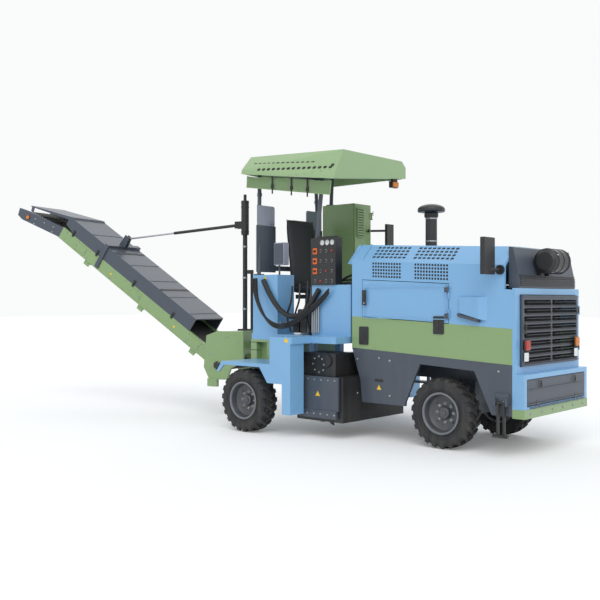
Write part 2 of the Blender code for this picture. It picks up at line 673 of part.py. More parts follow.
def rear_box():
    """Green box across the tail, with the lugs of the slew pin and a recess on the right."""
    shell = box(-2.655, -2.34, -0.645, 0.645, RAIL_Z1 + GAP, DECK_Z0 - GAP)
    side = [box(-2.655, -2.34, *sorted((s * 0.645, s * 0.34)), 0.70, 0.80) for s in (-1, 1)]
    ears = [box(-2.84, -2.64, -0.07, 0.07, z0, z1) for z0, z1 in ((0.802, 0.8375), (0.9525, 0.988))]
    pin = lathe([(0, 0.78), (0.0307, 0.78), (0.0307, 1.1), (0, 1.1)], 20, "z", (SLEW_X, 0, 0))
    recess = box(-2.56, -2.39, -0.70, -0.56, 0.72, 0.97)
    fuse("rear_box", "green", [shell] + side + ears, [pin, recess])


def risers():
    """Blue boxes standing on the deck: battery box, panel tower, and the hydraulic tank on the left."""
    low = DECK_Z0 + 0.01
    return [
        box(-2.62, -2.22, -0.645, -0.36, low, 1.76),
        box(-1.69, -1.14, -0.645, -0.56, low, 1.63),
        box(-1.69, -1.60, -0.645, -0.40, low, 1.40),
        box(-1.90, -1.14, 0.45, 0.88, low, 1.50),
        lathe([(0, 1.49), (0.05, 1.49), (0.05, 1.53), (0, 1.53)], 16, "z", (-1.4, 0.66, 0)),
    ]


def instruments():
    fuse("instrument_panel", "black", [
        box(-1.69, -1.335, -0.665, -0.55, 1.63 + GAP, 2.15),
        box(-1.66, -1.365, -0.60, -0.57, 2.14, 2.17),
    ])


def seat():
    top = DECK_Z1 + GAP
    fuse("seat_pedestal", "black", [
        box(-2.30, -2.02, -0.16, 0.16, top, top + 0.05),
        rod(0.07, (-2.16, 0, top + 0.04), (-2.16, 0, 1.50)),
        box(-2.34, -1.98, -0.20, 0.20, 1.48, 1.53),
    ])
    fuse("seat", "fabric", [
        box(-2.40, -1.93, -0.24, 0.24, 1.53 + GAP, 1.65),
        prism([(-2.40, 1.60), (-2.30, 1.60), (-2.40, 2.44), (-2.49, 2.44)], -0.25, 0.25),
    ])


def steering():
    top = DECK_Z1 + GAP
    fuse("steering_column", "slate", [
        box(-1.62, -1.38, -0.15, 0.15, top, 1.20),
        prism([(-1.58, 1.15), (-1.42, 1.15), (-1.52, 1.70), (-1.62, 1.66)], -0.08, 0.08),
    ])
    tilt = math.radians(-22)
    spokes = [rod(0.012, (0, 0, 0.03), (0.165 * math.cos(a), 0.165 * math.sin(a), 0.045), 8)
              for a in (math.radians(d) for d in (0, 120, 240))]
    ring = torus(0.165, 0.014)
    hub = lathe([(0, 0.0), (0.035, 0.0), (0.035, 0.05), (0, 0.05)], 16, "z")
    moved([ring], dz=0.045)
    fuse("steering_wheel", "black", [hub] + spokes + [ring], at=(-1.5703, 0, 1.6807), turn=(0, tilt, 0))


def torus(radius, tube, steps=22, sides=6):
    return lathe([(radius + tube * math.cos(a), tube * math.sin(a))
                  for a in (math.tau * k / sides for k in range(sides))], steps, "z")


def cabinet():
    """Control cabinet at the left of the platform, with a door on its front face and a mirror."""
    x_face, y_face = -1.965, 0.78
    held = []
    for z in CABINET_HINGES:
        held += lugs("z", (x_face - 0.03, y_face - 0.0015, 0), (x_face + 0.036, y_face + 0.016, 0), 0.03, z)
    shell = fuse("case", "green", [box(-2.46, x_face, 0.45, y_face, DECK_Z1 + GAP, CABINET_Z1)],
                 [box(-2.10, -1.90, 0.475, 0.755, 2.02, 2.635)])
    fuse("control_cabinet", "green", [shell] + held)
    x_axis, y_axis = x_face + 0.028, y_face + 0.008
    pieces = [
        box(x_face + 0.005, x_face + 0.022, 0.455, 0.772, 2.0, 2.655),
        box(x_face + 0.021, x_face + 0.045, 0.48, 0.59, 2.25, 2.60),
        rod(0.018, (x_face + 0.015, 0.69, 2.33), (x_face + 0.045, 0.69, 2.33), 12),
    ]
    for z in CABINET_HINGES:
        pieces.append(barrel("z", (x_axis, y_axis, z), 0.03))
        pieces.append(box(x_face + 0.0205, x_face + 0.027, 0.74, y_axis, z - 0.028, z + 0.028))
    moved(pieces, dx=-x_axis, dy=-y_axis)
    fuse("cabinet_door", "green", pieces, at=(x_axis, y_axis, 0))
    fuse("cabinet_mirror", "black", [
        box(-1.80, -1.765, 0.88, 1.02, 2.14, 2.42),
        rod(0.014, (-2.05, 0.775, 2.34), (-1.79, 0.93, 2.34), 12),
    ], [box(-2.6, -1.9, 0.3, 0.78 + GAP, 2.0, 2.7)])


def windbreak():
    """Dark frame with two sheets behind the operator, carried by the rear posts."""
    x0, x1 = -2.612, -2.594
    parts = [
        box(x0, x1, -0.60, -0.28, 1.80, 2.36), box(x0, x1, 0.28, 0.60, 1.20, 2.36),
        box(x0, x1, -0.30, 0.30, 1.82, 1.88),
    ]
    return parts + [box(x0 + 0.004, x1 - 0.008, *span(s, 0.59, 0.31), 1.84, 2.60) for s in (-1, 1)]


def canopy():
    """Roof on four posts, one of them on the control cabinet, with a hanging curtain under its right edge."""
    deck, riser, cabinet = DECK_Z1 + GAP, 1.76 + GAP, CABINET_Z1 + GAP
    parts = []
    # the foot and the top of each post
    posts = (
        ((-2.585, -0.58, riser), (-2.69, -0.46, 3.15)), ((-1.80, -0.58, deck), (-1.66, -0.46, 3.12)),
        ((-2.585, 0.58, deck), (-2.69, 0.57, 3.15)), ((-2.38, 0.52, cabinet), (-2.40, 0.57, 3.15)),
    )
    for (x, y, z), top in posts:
        parts += [rod(0.024, (x, y, z + 0.006), top, 12), box(x - 0.045, x + 0.045, y - 0.045, y + 0.045, z, z + 0.015)]
    parts += [box(-2.70, -1.65, y - 0.015, y + 0.015, 3.02, 3.05) for y in (-0.46, 0.57)]
    parts += [box(x - 0.015, x + 0.015, -0.46, 0.57, 3.02, 3.05) for x in (-2.684, -1.667)]
    above = prism([(-3.0, 3.10 - GAP - 0.05 * (1.36 - 3.0)), (-1.2, 3.10 - GAP - 0.05 * (1.36 - 1.2)),
                   (-1.2, 4.0), (-3.0, 4.0)], -1, 1)
    fuse("canopy_frame", "slate", parts + windbreak(), [above])
    outer, inner = roof_solid(0.0), roof_solid(SHEET)
    bottom = box(-3.2, -1.0, -1.0, 1.0, 2.0, 2.78)
    fuse("canopy_roof", "green", [outer], [inner, bottom])
    fuse("side_curtain", "curtain", [
        prism([(-2.76, 2.815), (-1.45, 2.62), (-1.42, 2.815), (-2.75, 3.0)], -0.6247, -0.6147),
    ])


def roof_solid(inset):
    """The roof's outer shape drawn in by inset: flat top, a deep slope on the right, a shallow edge on the left."""
    bm = bmesh.new()
    x0, x1 = -2.80 + inset, -1.36 - inset
    rise = 0.05
    rings = []
    for x in (x0, x1):
        lift = rise * (-1.36 - x)
        slope = 0.20 * (-1.36 - x) / 1.44
        outline = [
            (-0.655 + inset - (0.0 if inset else 0.01), 2.60 if inset else 2.79 + 0.95 * slope),
            (-0.655 + inset, 2.83 + slope),
            (-0.50 + inset * 0.5, 3.13 + lift - inset), (0.62 - inset * 0.5, 3.13 + lift - inset),
            (0.70 - inset, 3.06 + lift), (0.70 - inset, 2.60 if inset else 2.93),
        ]
        rings.append([bm.verts.new((x, y, z)) for y, z in outline])
    one, two = rings
    bm.faces.new(one)
    bm.faces.new(two)
    for i in range(len(one)):
        j = (i + 1) % len(one)
        bm.faces.new((one[i], one[j], two[j], two[i]))
    return mesh_object("piece", bm)


def ladder():
    """Steps up to the deck on the left, and the grab rail beside them."""
    parts = [box(-1.47, -1.44, 0.9005, 0.935, 0.42, DECK_Z1), box(-1.19, -1.16, 0.9005, 0.935, 0.42, DECK_Z1)]
    parts += [box(-1.46, -1.17, 0.905, 1.05, z, z + 0.025) for z in (0.45, 0.72)]
    parts += [rod(0.016, (-1.455, 0.92, 1.05), (-1.455, 0.92, 1.95), 10),
              rod(0.016, (-1.175, 0.92, 1.05), (-1.175, 0.92, 1.75), 10)]
    fuse("access_steps", "slate", parts)


def hoses():
    y = -0.645 - 0.0305
    run = bend([(-2.42, y, 1.70), (-1.56, y, 1.58)], 0.36, 10)
    fuse("hose_loop", "rubber", [hose(run, 0.030, 8)], smooth=True)


# ------------------------------------------------------------------ discharge conveyor
def slew_matrix(angle=SLEW_REST):
    return Matrix.Translation((SLEW_X, 0, 0)) @ Matrix.Rotation(math.radians(180 + angle), 4, "Z")


def luff_matrix():
    return slew_matrix() @ Matrix.Translation((LUFF_S, 0, LUFF_Z)) @ Matrix.Rotation(math.radians(-LUFF_REST), 4, "Y")


def placed(obj, matrix):
    obj.matrix_world = matrix
    return obj


def yoke():
    """Slewing mount: a barrel on the slew pin, a neck, two cheeks holding the conveyor, a bridge for the mast."""
    thick = lathe([(0, 0.838), (0.055, 0.838), (0.055, 0.952), (0, 0.952)], 20, "z")
    pin = lathe([(0, 0.79), (0.030, 0.79), (0.030, 1.0), (0, 1.0)], 20, "z")
    parts = [thick, pin, box(0.03, 0.34, -0.06, 0.06, 0.845, 0.945)]
    parts.append(box(0.32, 0.36, -0.40, 0.40, 0.80, 1.05))
    for side in (-1, 1):
        ys = sorted((side * 0.40, side * 0.365))
        parts.append(prism(
            [(0.32, 0.70), (0.50, 0.62), (0.56, 0.47), (0.82, 0.47), (0.90, 0.62), (0.86, 1.02), (0.70, 1.075),
             (0.32, 1.075)], *ys))
        parts.append(rod(0.04, (LUFF_S, ys[0] if side > 0 else ys[1], LUFF_Z),
                         (LUFF_S, side * (BEAM_Y1 + 0.0005), LUFF_Z)))
        parts.append(box(0.70, 0.84, *span(side, 0.41, 0.36), 0.38, 0.48))
    parts.append(box(0.34, 0.62, -0.38, 0.38, 1.045, 1.075))
    placed(fuse("conveyor_yoke", "green", parts), slew_matrix())


def mast():
    """Post on the yoke's bridge: steel tube with a brace, a thicker head and the stay's cheeks."""
    base = 1.075 + GAP
    parts = [
        rod(0.030, (MAST_S, 0, base + 0.006), (MAST_S, 0, 2.32)),
        box(MAST_S - 0.12, MAST_S + 0.07, -0.07, 0.07, base, base + 0.02),
        rod(0.018, (MAST_S - 0.10, 0.0, base + 0.01), (MAST_S - 0.10, 0, 1.842), 10),
        box(MAST_S - 0.12, MAST_S + 0.01, -0.012, 0.012, 1.80, 1.85),
        rod(0.050, (MAST_S, 0, 2.30), (MAST_S, 0, 2.74), 14),
        rod(0.020, (MAST_S, 0, 2.70), (MAST_S, 0, 2.82), 10),
        rod(0.0117, (MAST_S + 0.095, -0.050, MAST_PIN_Z), (MAST_S + 0.095, 0.050, MAST_PIN_Z), 14),
    ]
    parts += [
        box(MAST_S + 0.01, MAST_S + 0.13, y, y + 0.014, MAST_PIN_Z - 0.045, MAST_PIN_Z + 0.045)
        for y in (-0.045, 0.031)
    ]
    placed(fuse("conveyor_mast", "black", parts), slew_matrix())


def stay_line():
    """Mast pin and conveyor eye in the slewing frame, and the stay's slope between them."""
    start = Vector((MAST_S + 0.095, 0, MAST_PIN_Z))
    slope = math.radians(LUFF_REST)
    end = Vector((
        LUFF_S + STAY_X * math.cos(slope) - STAY_Z * math.sin(slope), 0,
        LUFF_Z + STAY_X * math.sin(slope) + STAY_Z * math.cos(slope),
    ))
    return start, end


def stay():
    """Suspension stay: a barrel on the mast pin and a rod whose eye sits between the hoop's cheeks."""
    start, end = stay_line()
    along = end - start
    length = along.length
    tilt = -math.atan2(along.z, along.x)
    frame = slew_matrix() @ Matrix.Translation(start) @ Matrix.Rotation(tilt, 4, "Y")
    eye = lathe([(0, -0.02), (0.028, -0.02), (0.028, 0.02), (0, 0.02)], 18, "y")
    bore = lathe([(0, -0.05), (0.012, -0.05), (0.012, 0.05), (0, 0.05)], 18, "y")
    barrel = rod(0.020, (0.02, 0, 0), (length * 0.56, 0, 0), 14)
    inner = rod(0.0123, (0.10, 0, 0), (length, 0, 0), 12)
    placed(fuse("stay_barrel", "black", [eye, barrel], [bore, inner]), frame)
    far_eye = lathe([(0, -0.014), (0.026, -0.014), (0.026, 0.014), (0, 0.014)], 18, "y", (length, 0, 0))
    piston = rod(0.012, (0.40, 0, 0), (length - 0.015, 0, 0), 12)
    far_bore = lathe([(0, -0.05), (0.012, -0.05), (0.012, 0.05), (0, 0.05)], 14, "y", (length, 0, 0))
    placed(fuse("stay_rod", "steel", [far_eye, piston], [far_bore]), frame)


def knee(points):
    """Turns (along, above) points given from the knee by the drop of the head section."""
    a = math.radians(HEAD_DROP)
    return [(BEAM_L + x * math.cos(a) + z * math.sin(a), -x * math.sin(a) + z * math.cos(a)) for x, z in points]


def conveyor_frame():
    parts = []
    for side in (-1, 1):
        ys = sorted((side * BEAM_Y0, side * BEAM_Y1))
        parts.append(box(-0.10, BEAM_L, *ys, -BEAM_H, BEAM_H))
    for x in (0.30, 1.10, 2.0, 2.95):
        parts.append(box(x - 0.03, x + 0.03, -0.30, 0.30, -0.012, 0.012))
    for x in (0.45, 1.45, 2.55):
        parts.append(rod(0.030, (x, -0.300, -0.115), (x, 0.300, -0.115), 10))
        for side in (-1, 1):
            parts.append(box(x - 0.045, x + 0.045, *span(side, 0.294, 0.312), -0.15, -0.06))
    parts.append(rod(0.0483, (-0.02, -0.30, 0), (-0.02, 0.30, 0), 18))
    placed(fuse("conveyor_frame", "green", parts), luff_matrix())


def conveyor_head():
    plates = []
    for side in (-1, 1):
        ys = sorted((side * BEAM_Y0, side * BEAM_Y1))
        outline = knee([(0.05, -0.075), (HEAD_L - 0.10, -0.065), (HEAD_L, -0.03), (HEAD_L, 0.075), (0.70, 0.085),
                        (0.05, 0.075)])
        plates.append(prism([(BEAM_L + GAP, -0.08)] + outline + [(BEAM_L + GAP, 0.08)], *ys))
    for along in (0.15, 0.55):
        spot = knee([(along - 0.03, -0.010), (along + 0.03, -0.010), (along + 0.03, 0.012), (along - 0.03, 0.012)])
        plates.append(prism(spot, -0.30, 0.30))
    spot = knee([(HEAD_L - 0.09, 0.0)])[0]
    plates.append(rod(0.0483, (spot[0], -0.30, spot[1]), (spot[0], 0.30, spot[1]), 18))
    placed(fuse("conveyor_head", "slate", plates), luff_matrix())


def belt_path(lift):
    """The belt's two runs, drawn in by lift from its outer face: round the tail, along, over the knee, round the head."""
    tail, head, half = -0.02, HEAD_L - 0.09, 0.062 - lift
    points = [(tail + half * math.cos(a), half * math.sin(a))
              for a in (math.radians(d) for d in range(90, 271, 30))]
    lower = [(BEAM_L - 0.01, -half)]
    turn = [(head + half * math.cos(a), half * math.sin(a))
            for a in (math.radians(d) for d in range(-90, 91, 30))]
    upper = [(BEAM_L - 0.01, half)]
    return points + lower + knee(turn) + upper


def belt():
    outer = prism(belt_path(0.0), -0.27, 0.27)
    inner = prism(belt_path(0.0115), -0.40, 0.40)
    placed(fuse("conveyor_belt", "belt", [outer], [inner]), luff_matrix())


def conveyor_cover():
    z0, z1 = BEAM_H + GAP, 0.27
    x0, x1 = 0.62, BEAM_L - 0.02
    parts = []
    for side in (-1, 1):
        parts.append(prism([(x0, z0), (x1 - 0.25, z0), (x1, 0.14), (x1, z1), (x0, z1)],
                           *sorted((side * BEAM_Y1, side * (BEAM_Y1 - 0.015)))))
    parts.append(box(x0, x1, -BEAM_Y1, BEAM_Y1, z1 - 0.016, z1))
    parts.append(prism(knee([(-0.16, 0.215), (HEAD_L - 0.20, 0.16), (HEAD_L - 0.20, 0.175), (-0.14, 0.262)]),
                       -BEAM_Y1, BEAM_Y1))
    for side in (-1, 1):
        parts.append(prism(knee([(HEAD_L - 0.26, 0.10), (HEAD_L - 0.22, 0.10), (HEAD_L - 0.22, 0.170),
                                 (HEAD_L - 0.26, 0.168)]), *sorted((side * BEAM_Y1, side * (BEAM_Y1 - 0.015)))))
    placed(fuse("conveyor_cover", "slate", parts + stay_hoop()), luff_matrix())


def stay_hoop():
    """Strap over the cover with two cheeks that the stay's eye sits between."""
    x = STAY_X
    parts = [box(x - 0.03, x + 0.03, *span(s, BEAM_Y1 + GAP, BEAM_Y1 + 0.022), -0.06, 0.305) for s in (-1, 1)]
    parts.append(box(x - 0.03, x + 0.03, -BEAM_Y1 - 0.022, BEAM_Y1 + 0.022, 0.265, 0.305))
    for y in (-0.037, 0.025):
        parts.append(prism([(x - 0.05, 0.30), (x + 0.05, 0.30), (x + 0.035, 0.46), (x - 0.035, 0.46)], y, y + 0.012))
    return parts


def rest_on_origin():
    """Moves the machine so that its origin is the bottom centre of its bounding box."""
    bpy.context.view_layer.update()
    graph = bpy.context.evaluated_depsgraph_get()
    spots = []
    for obj in bpy.context.scene.objects:
        world = obj.matrix_world
        spots += [world @ vert.co for vert in obj.evaluated_get(graph).data.vertices]
    low = [min(p[i] for p in spots) for i in range(3)]
    high = [max(p[i] for p in spots) for i in range(3)]
    shift = Vector((-(low[0] + high[0]) / 2, -(low[1] + high[1]) / 2, -low[2]))
    for obj in bpy.context.scene.objects:
        obj.location = obj.location + shift
    print("origin shift", tuple(round(v, 5) for v in shift), "size",
          tuple(round(high[i] - low[i], 4) for i in range(3)))


def main():
    clear_scene()
    wheels()
    front_axle()
    main_frame()
    engine()
    skirt()
    green_band()
    hood()
    engine_doors()
    nose()
    intake_stack()
    front_mirrors()
    step()
    drum_housing()
    milling_drum()
    side_plates()
    scraper()
    drum_drive()
    deck()
    rear_box()
    instruments()
    seat()
    steering()
    cabinet()
    canopy()
    ladder()
    hoses()
    yoke()
    mast()
    stay()
    conveyor_frame()
    conveyor_head()
    belt()
    conveyor_cover()
    rest_on_origin()


main()
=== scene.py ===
"""Looks of a compact wheeled cold planer: finishes, fine pieces, floor, lights and camera.

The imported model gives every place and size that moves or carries. This script dresses it.
Lengths are metres. Machine coordinates have X forward from the front axle, Y to the left of the
centre line and Z up from the ground.
"""

import json
import logging
import math
from dataclasses import dataclass, field
from enum import Enum
from typing import Iterable, Sequence

import bmesh
import bpy
from mathutils import Matrix, Vector
from mathutils.bvhtree import BVHTree


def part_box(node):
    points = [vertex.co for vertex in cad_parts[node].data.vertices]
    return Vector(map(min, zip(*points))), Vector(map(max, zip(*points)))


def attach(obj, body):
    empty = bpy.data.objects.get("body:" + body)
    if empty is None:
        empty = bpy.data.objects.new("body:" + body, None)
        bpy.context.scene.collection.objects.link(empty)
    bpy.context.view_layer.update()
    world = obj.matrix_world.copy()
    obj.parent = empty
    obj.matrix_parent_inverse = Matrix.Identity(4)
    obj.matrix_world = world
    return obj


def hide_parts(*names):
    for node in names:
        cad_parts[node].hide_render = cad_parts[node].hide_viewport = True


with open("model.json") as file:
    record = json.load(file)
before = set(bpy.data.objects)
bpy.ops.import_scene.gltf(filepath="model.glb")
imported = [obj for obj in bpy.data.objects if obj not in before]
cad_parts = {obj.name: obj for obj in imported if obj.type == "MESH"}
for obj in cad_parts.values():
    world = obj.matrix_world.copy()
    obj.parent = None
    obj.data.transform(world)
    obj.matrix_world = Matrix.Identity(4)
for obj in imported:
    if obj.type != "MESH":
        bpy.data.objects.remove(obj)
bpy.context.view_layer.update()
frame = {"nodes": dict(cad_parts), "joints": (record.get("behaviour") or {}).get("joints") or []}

logging.basicConfig(level=logging.INFO, format="%(message)s")
LOG = logging.getLogger("planer")

Point = tuple[float, float, float]
BLOCK_FACES = ((0, 1, 2, 3), (4, 5, 6, 7), (0, 1, 5, 4), (1, 2, 6, 5), (2, 3, 7, 6),
               (3, 0, 4, 7))  # two rings of four points


# ------------------------------------------------------------------ places
def centre_of(node: str) -> Vector:
    """Returns the centre of a node's box."""
    low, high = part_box(node)
    return (low + high) / 2


AXLE = (centre_of("tyre_front_right") + centre_of("tyre_front_left")) / 2


def at(x: float, y: float, z: float) -> Vector:
    """Returns the world place of machine coordinates."""
    return Vector((AXLE.x + x, AXLE.y + y, z))


def joint(name: str) -> dict:
    """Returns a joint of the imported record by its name."""
    return next(j for j in frame["joints"] if j["name"] == name)


# ------------------------------------------------------------------ materials
def linear(colour: str) -> tuple[float, float, float, float]:
    """Turns an sRGB hex colour into linear RGBA.

    Args:
        colour: Six hex digits with a leading #.

    Returns:
        Linear red, green, blue and an alpha of 1.
    """
    parts = [int(colour[i:i + 2], 16) / 255 for i in (1, 3, 5)]
    return (*[c / 12.92 if c <= 0.04045 else ((c + 0.055) / 1.055) ** 2.4 for c in parts], 1.0)


def shade(colour: str, factor: float) -> tuple[float, float, float, float]:
    """Returns a hex colour in linear RGBA, made lighter or darker by a factor."""
    red, green, blue, _ = linear(colour)
    return (min(red * factor, 1.0), min(green * factor, 1.0), min(blue * factor, 1.0), 1.0)


def add(tree: bpy.types.NodeTree, kind: str, inputs: dict | None = None,
        **settings: object) -> bpy.types.Node:
    """Adds a node.

    Args:
        tree: The material's node tree.
        kind: The node's type.
        inputs: Values or output sockets, by input name or number.
        **settings: Properties of the node.

    Returns:
        The new node.
    """
    node = tree.nodes.new(kind)
    for name, value in settings.items():
        setattr(node, name, value)
    for key, value in (inputs or {}).items():
        if isinstance(value, bpy.types.NodeSocket):
            tree.links.new(value, node.inputs[key])
        else:
            node.inputs[key].default_value = value
    return node


def shown_rays(tree: bpy.types.NodeTree) -> bpy.types.NodeSocket:
    """Returns 1 for rays that show the background: to the camera, in glossy metal and through clear sheet."""
    path = add(tree, "ShaderNodeLightPath").outputs
    seen = add(tree, "ShaderNodeMath", {0: path["Is Camera Ray"], 1: path["Is Glossy Ray"]},
               operation="MAXIMUM")
    return add(tree, "ShaderNodeMath", {0: seen.outputs["Value"], 1: path["Is Transmission Ray"]},
               operation="MAXIMUM").outputs["Value"]


@dataclass(frozen=True)
class Finish:
    """What every finish has: a name, a colour and the record's slot it belongs to.

    Attributes:
        name: The material's name.
        colour: sRGB hex colour.
        slot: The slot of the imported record.
        rough: Roughness of the clean surface.
        metal: Metallic value.
        coat: Clear coat weight.
        tone: How far the colour drifts from place to place, as a share.
        grain_mm: Size of the fine relief.
        relief: Strength of the fine relief.
        dust: Share of pale road dust low on the machine.
        edge: Share by which worn edges turn lighter.
    """

    name: str
    colour: str
    slot: str
    rough: float = 0.4
    metal: float = 0.0
    coat: float = 0.0
    tone: float = 0.05
    grain_mm: float = 6.0
    relief: float = 0.04
    dust: float = 0.05
    edge: float = 0.25

    def made(self) -> bpy.types.Material:
        """Returns the material, built on first use."""
        found = bpy.data.materials.get(self.name)
        return found if found else self.build()

    def build(self) -> bpy.types.Material:
        """Builds the node material.

        Returns:
            The new material.
        """
        made = bpy.data.materials.new(self.name)
        made.use_nodes = True
        tree = made.node_tree
        shader = tree.nodes["Principled BSDF"]
        shader.inputs["Metallic"].default_value = self.metal
        shader.inputs["Coat Weight"].default_value = self.coat
        shader.inputs["Coat Roughness"].default_value = 0.12
        place = add(tree, "ShaderNodeTexCoord").outputs["Object"]
        colour = self.pattern(tree, place)
        colour = self.worn(tree, colour)
        colour, rough = self.dusted(tree, place, colour)
        tree.links.new(colour, shader.inputs["Base Color"])
        tree.links.new(rough, shader.inputs["Roughness"])
        tree.links.new(self.relief_of(tree, place), shader.inputs["Normal"])
        self.dress(tree, shader, place)
        return made

    def pattern(self, tree: bpy.types.NodeTree, place: bpy.types.NodeSocket) -> bpy.types.NodeSocket:
        """Colour that drifts slowly over the surface, as paint from several coats does."""
        patches = add(tree, "ShaderNodeTexNoise", {"Vector": place, "Scale": 2.1, "Detail": 5.0,
                                                   "Roughness": 0.6})
        ramp = add(tree, "ShaderNodeMix", {
            "Factor": patches.outputs["Fac"], "A": shade(self.colour, 1 - self.tone),
            "B": shade(self.colour, 1 + self.tone)}, data_type="RGBA")
        return ramp.outputs["Result"]

    def worn(self, tree: bpy.types.NodeTree, colour: bpy.types.NodeSocket) -> bpy.types.NodeSocket:
        """Lighter colour along edges, where hands and grit have rubbed the surface."""
        if not self.edge:
            return colour
        soft = add(tree, "ShaderNodeBevel", {"Radius": 0.008}, samples=3)
        plain = add(tree, "ShaderNodeNewGeometry")
        turned = add(tree, "ShaderNodeVectorMath", {0: soft.outputs["Normal"], 1: plain.outputs["Normal"]},
                     operation="DOT_PRODUCT")
        rub = add(tree, "ShaderNodeMapRange", {
            "Value": turned.outputs["Value"], "From Min": 0.985, "From Max": 0.86, "To Min": 0.0,
            "To Max": self.edge})
        return add(tree, "ShaderNodeMix", {
            "Factor": rub.outputs["Result"], "A": colour, "B": shade(self.colour, 1.9)},
            data_type="RGBA").outputs["Result"]

    def dusted(
        self, tree: bpy.types.NodeTree, place: bpy.types.NodeSocket, colour: bpy.types.NodeSocket,
    ) -> tuple[bpy.types.NodeSocket, bpy.types.NodeSocket]:
        """Pale dust that thickens towards the ground, in streaks, and dulls the gloss.

        Args:
            tree: The material's node tree.
            place: Coordinates of the surface.
            colour: The colour without dust.

        Returns:
            The colour and the roughness sockets.
        """
        height = add(tree, "ShaderNodeSeparateXYZ", {"Vector": place}).outputs["Z"]
        low = add(tree, "ShaderNodeMapRange", {
            "Value": height, "From Min": 1.3, "From Max": 0.1, "To Min": 0.15, "To Max": 1.0})
        run = add(tree, "ShaderNodeMapping", {"Vector": place, "Scale": (9.0, 9.0, 1.6)})
        streaks = add(tree, "ShaderNodeTexNoise", {"Vector": run.outputs["Vector"], "Scale": 1.5,
                                                   "Detail": 6.0})
        spread = add(tree, "ShaderNodeMapRange", {
            "Value": streaks.outputs["Fac"], "From Min": 0.38, "From Max": 0.72, "To Min": 0.0,
            "To Max": self.dust})
        amount = add(tree, "ShaderNodeMath", {0: low.outputs["Result"], 1: spread.outputs["Result"]},
                     operation="MULTIPLY").outputs["Value"]
        mixed = add(tree, "ShaderNodeMix", {"Factor": amount, "A": colour, "B": linear("#B4AA99")},
                    data_type="RGBA")
        rough = add(tree, "ShaderNodeMath", {0: amount, 1: 0.6, 2: self.rough}, operation="MULTIPLY_ADD",
                    use_clamp=True)
        return mixed.outputs["Result"], rough.outputs["Value"]

    def relief_of(self, tree: bpy.types.NodeTree, place: bpy.types.NodeSocket) -> bpy.types.NodeSocket:
        """Fine relief over softened edges."""
        grain = add(tree, "ShaderNodeTexNoise", {"Vector": place, "Scale": 1000 / self.grain_mm,
                                                 "Detail": 3.0})
        soft = add(tree, "ShaderNodeBevel", {"Radius": 0.004}, samples=3)
        bump = add(tree, "ShaderNodeBump", {
            "Height": grain.outputs["Fac"], "Strength": self.relief, "Distance": 0.002,
            "Normal": soft.outputs["Normal"]})
        return bump.outputs["Normal"]

    def dress(self, tree: bpy.types.NodeTree, shader: bpy.types.Node, place: bpy.types.NodeSocket) -> None:
        """Hook for what only one kind of finish has."""


@dataclass(frozen=True)
class Enamel(Finish):
    """Two-part machine enamel, sprayed on sheet steel: even colour, soft gloss, slight orange peel."""

    rough: float = 0.34
    coat: float = 0.25
    relief: float = 0.05


@dataclass(frozen=True)
class TyreRubber(Finish):
    """Moulded tread rubber: nearly black, matt, greyed by dust in the low places."""

    rough: float = 0.82
    grain_mm: float = 4.0
    relief: float = 0.22
    dust: float = 0.35
    edge: float = 0.10


@dataclass(frozen=True)
class DrawnSteel(Finish):
    """Bright drawn or ground steel: fine lines along its length and a soft shine."""

    rough: float = 0.28
    metal: float = 1.0
    edge: float = 0.0
    grain_mm: float = 2.0
    relief: float = 0.05


@dataclass(frozen=True)
class CastIron(Finish):
    """Sand-cast iron and forged tool steel: coarse skin with a brown cast of rust."""

    rough: float = 0.62
    metal: float = 0.55
    grain_mm: float = 5.0
    relief: float = 0.35
    edge: float = 0.35

    def pattern(self, tree: bpy.types.NodeTree, place: bpy.types.NodeSocket) -> bpy.types.NodeSocket:
        """Grey iron with brown patches of light rust."""
        spots = add(tree, "ShaderNodeTexNoise", {"Vector": place, "Scale": 26.0, "Detail": 7.0})
        rust = add(tree, "ShaderNodeMapRange", {
            "Value": spots.outputs["Fac"], "From Min": 0.52, "From Max": 0.75, "To Min": 0.0, "To Max": 0.45})
        return add(tree, "ShaderNodeMix", {
            "Factor": rust.outputs["Result"], "A": linear(self.colour), "B": linear("#5B3A24")},
            data_type="RGBA").outputs["Result"]


@dataclass(frozen=True)
class Weave(Finish):
    """Woven cloth under a thin coating: crossed threads, drawn coarse enough to show."""

    rough: float = 0.75
    thread_mm: float = 9.0
    edge: float = 0.0
    relief: float = 0.3

    def relief_of(self, tree: bpy.types.NodeTree, place: bpy.types.NodeSocket) -> bpy.types.NodeSocket:
        """Relief of crossed threads."""
        waves = [
            add(tree, "ShaderNodeTexWave", {"Vector": place, "Scale": 1000 / self.thread_mm / 6.3},
                bands_direction=direction).outputs["Fac"]
            for direction in ("X", "Z")
        ]
        both = add(tree, "ShaderNodeMath", {0: waves[0], 1: waves[1]}, operation="ADD")
        bump = add(tree, "ShaderNodeBump", {"Height": both.outputs["Value"], "Strength": self.relief,
                                            "Distance": 0.001})
        return bump.outputs["Normal"]

    def dress(self, tree: bpy.types.NodeTree, shader: bpy.types.Node, place: bpy.types.NodeSocket) -> None:
        """Sheen of the coated threads."""
        shader.inputs["Sheen Weight"].default_value = 0.25


@dataclass(frozen=True)
class Upholstery(Finish):
    """Seat cover of embossed vinyl: fine pebbled grain and a dull shine."""

    rough: float = 0.58
    edge: float = 0.0

    def relief_of(self, tree: bpy.types.NodeTree, place: bpy.types.NodeSocket) -> bpy.types.NodeSocket:
        """Pebbled grain, each pebble a few millimetres."""
        pebbles = add(tree, "ShaderNodeTexVoronoi", {"Vector": place, "Scale": 1000 / self.grain_mm})
        bump = add(tree, "ShaderNodeBump", {"Height": pebbles.outputs["Distance"], "Strength": 0.35,
                                            "Distance": 0.0015})
        return bump.outputs["Normal"]


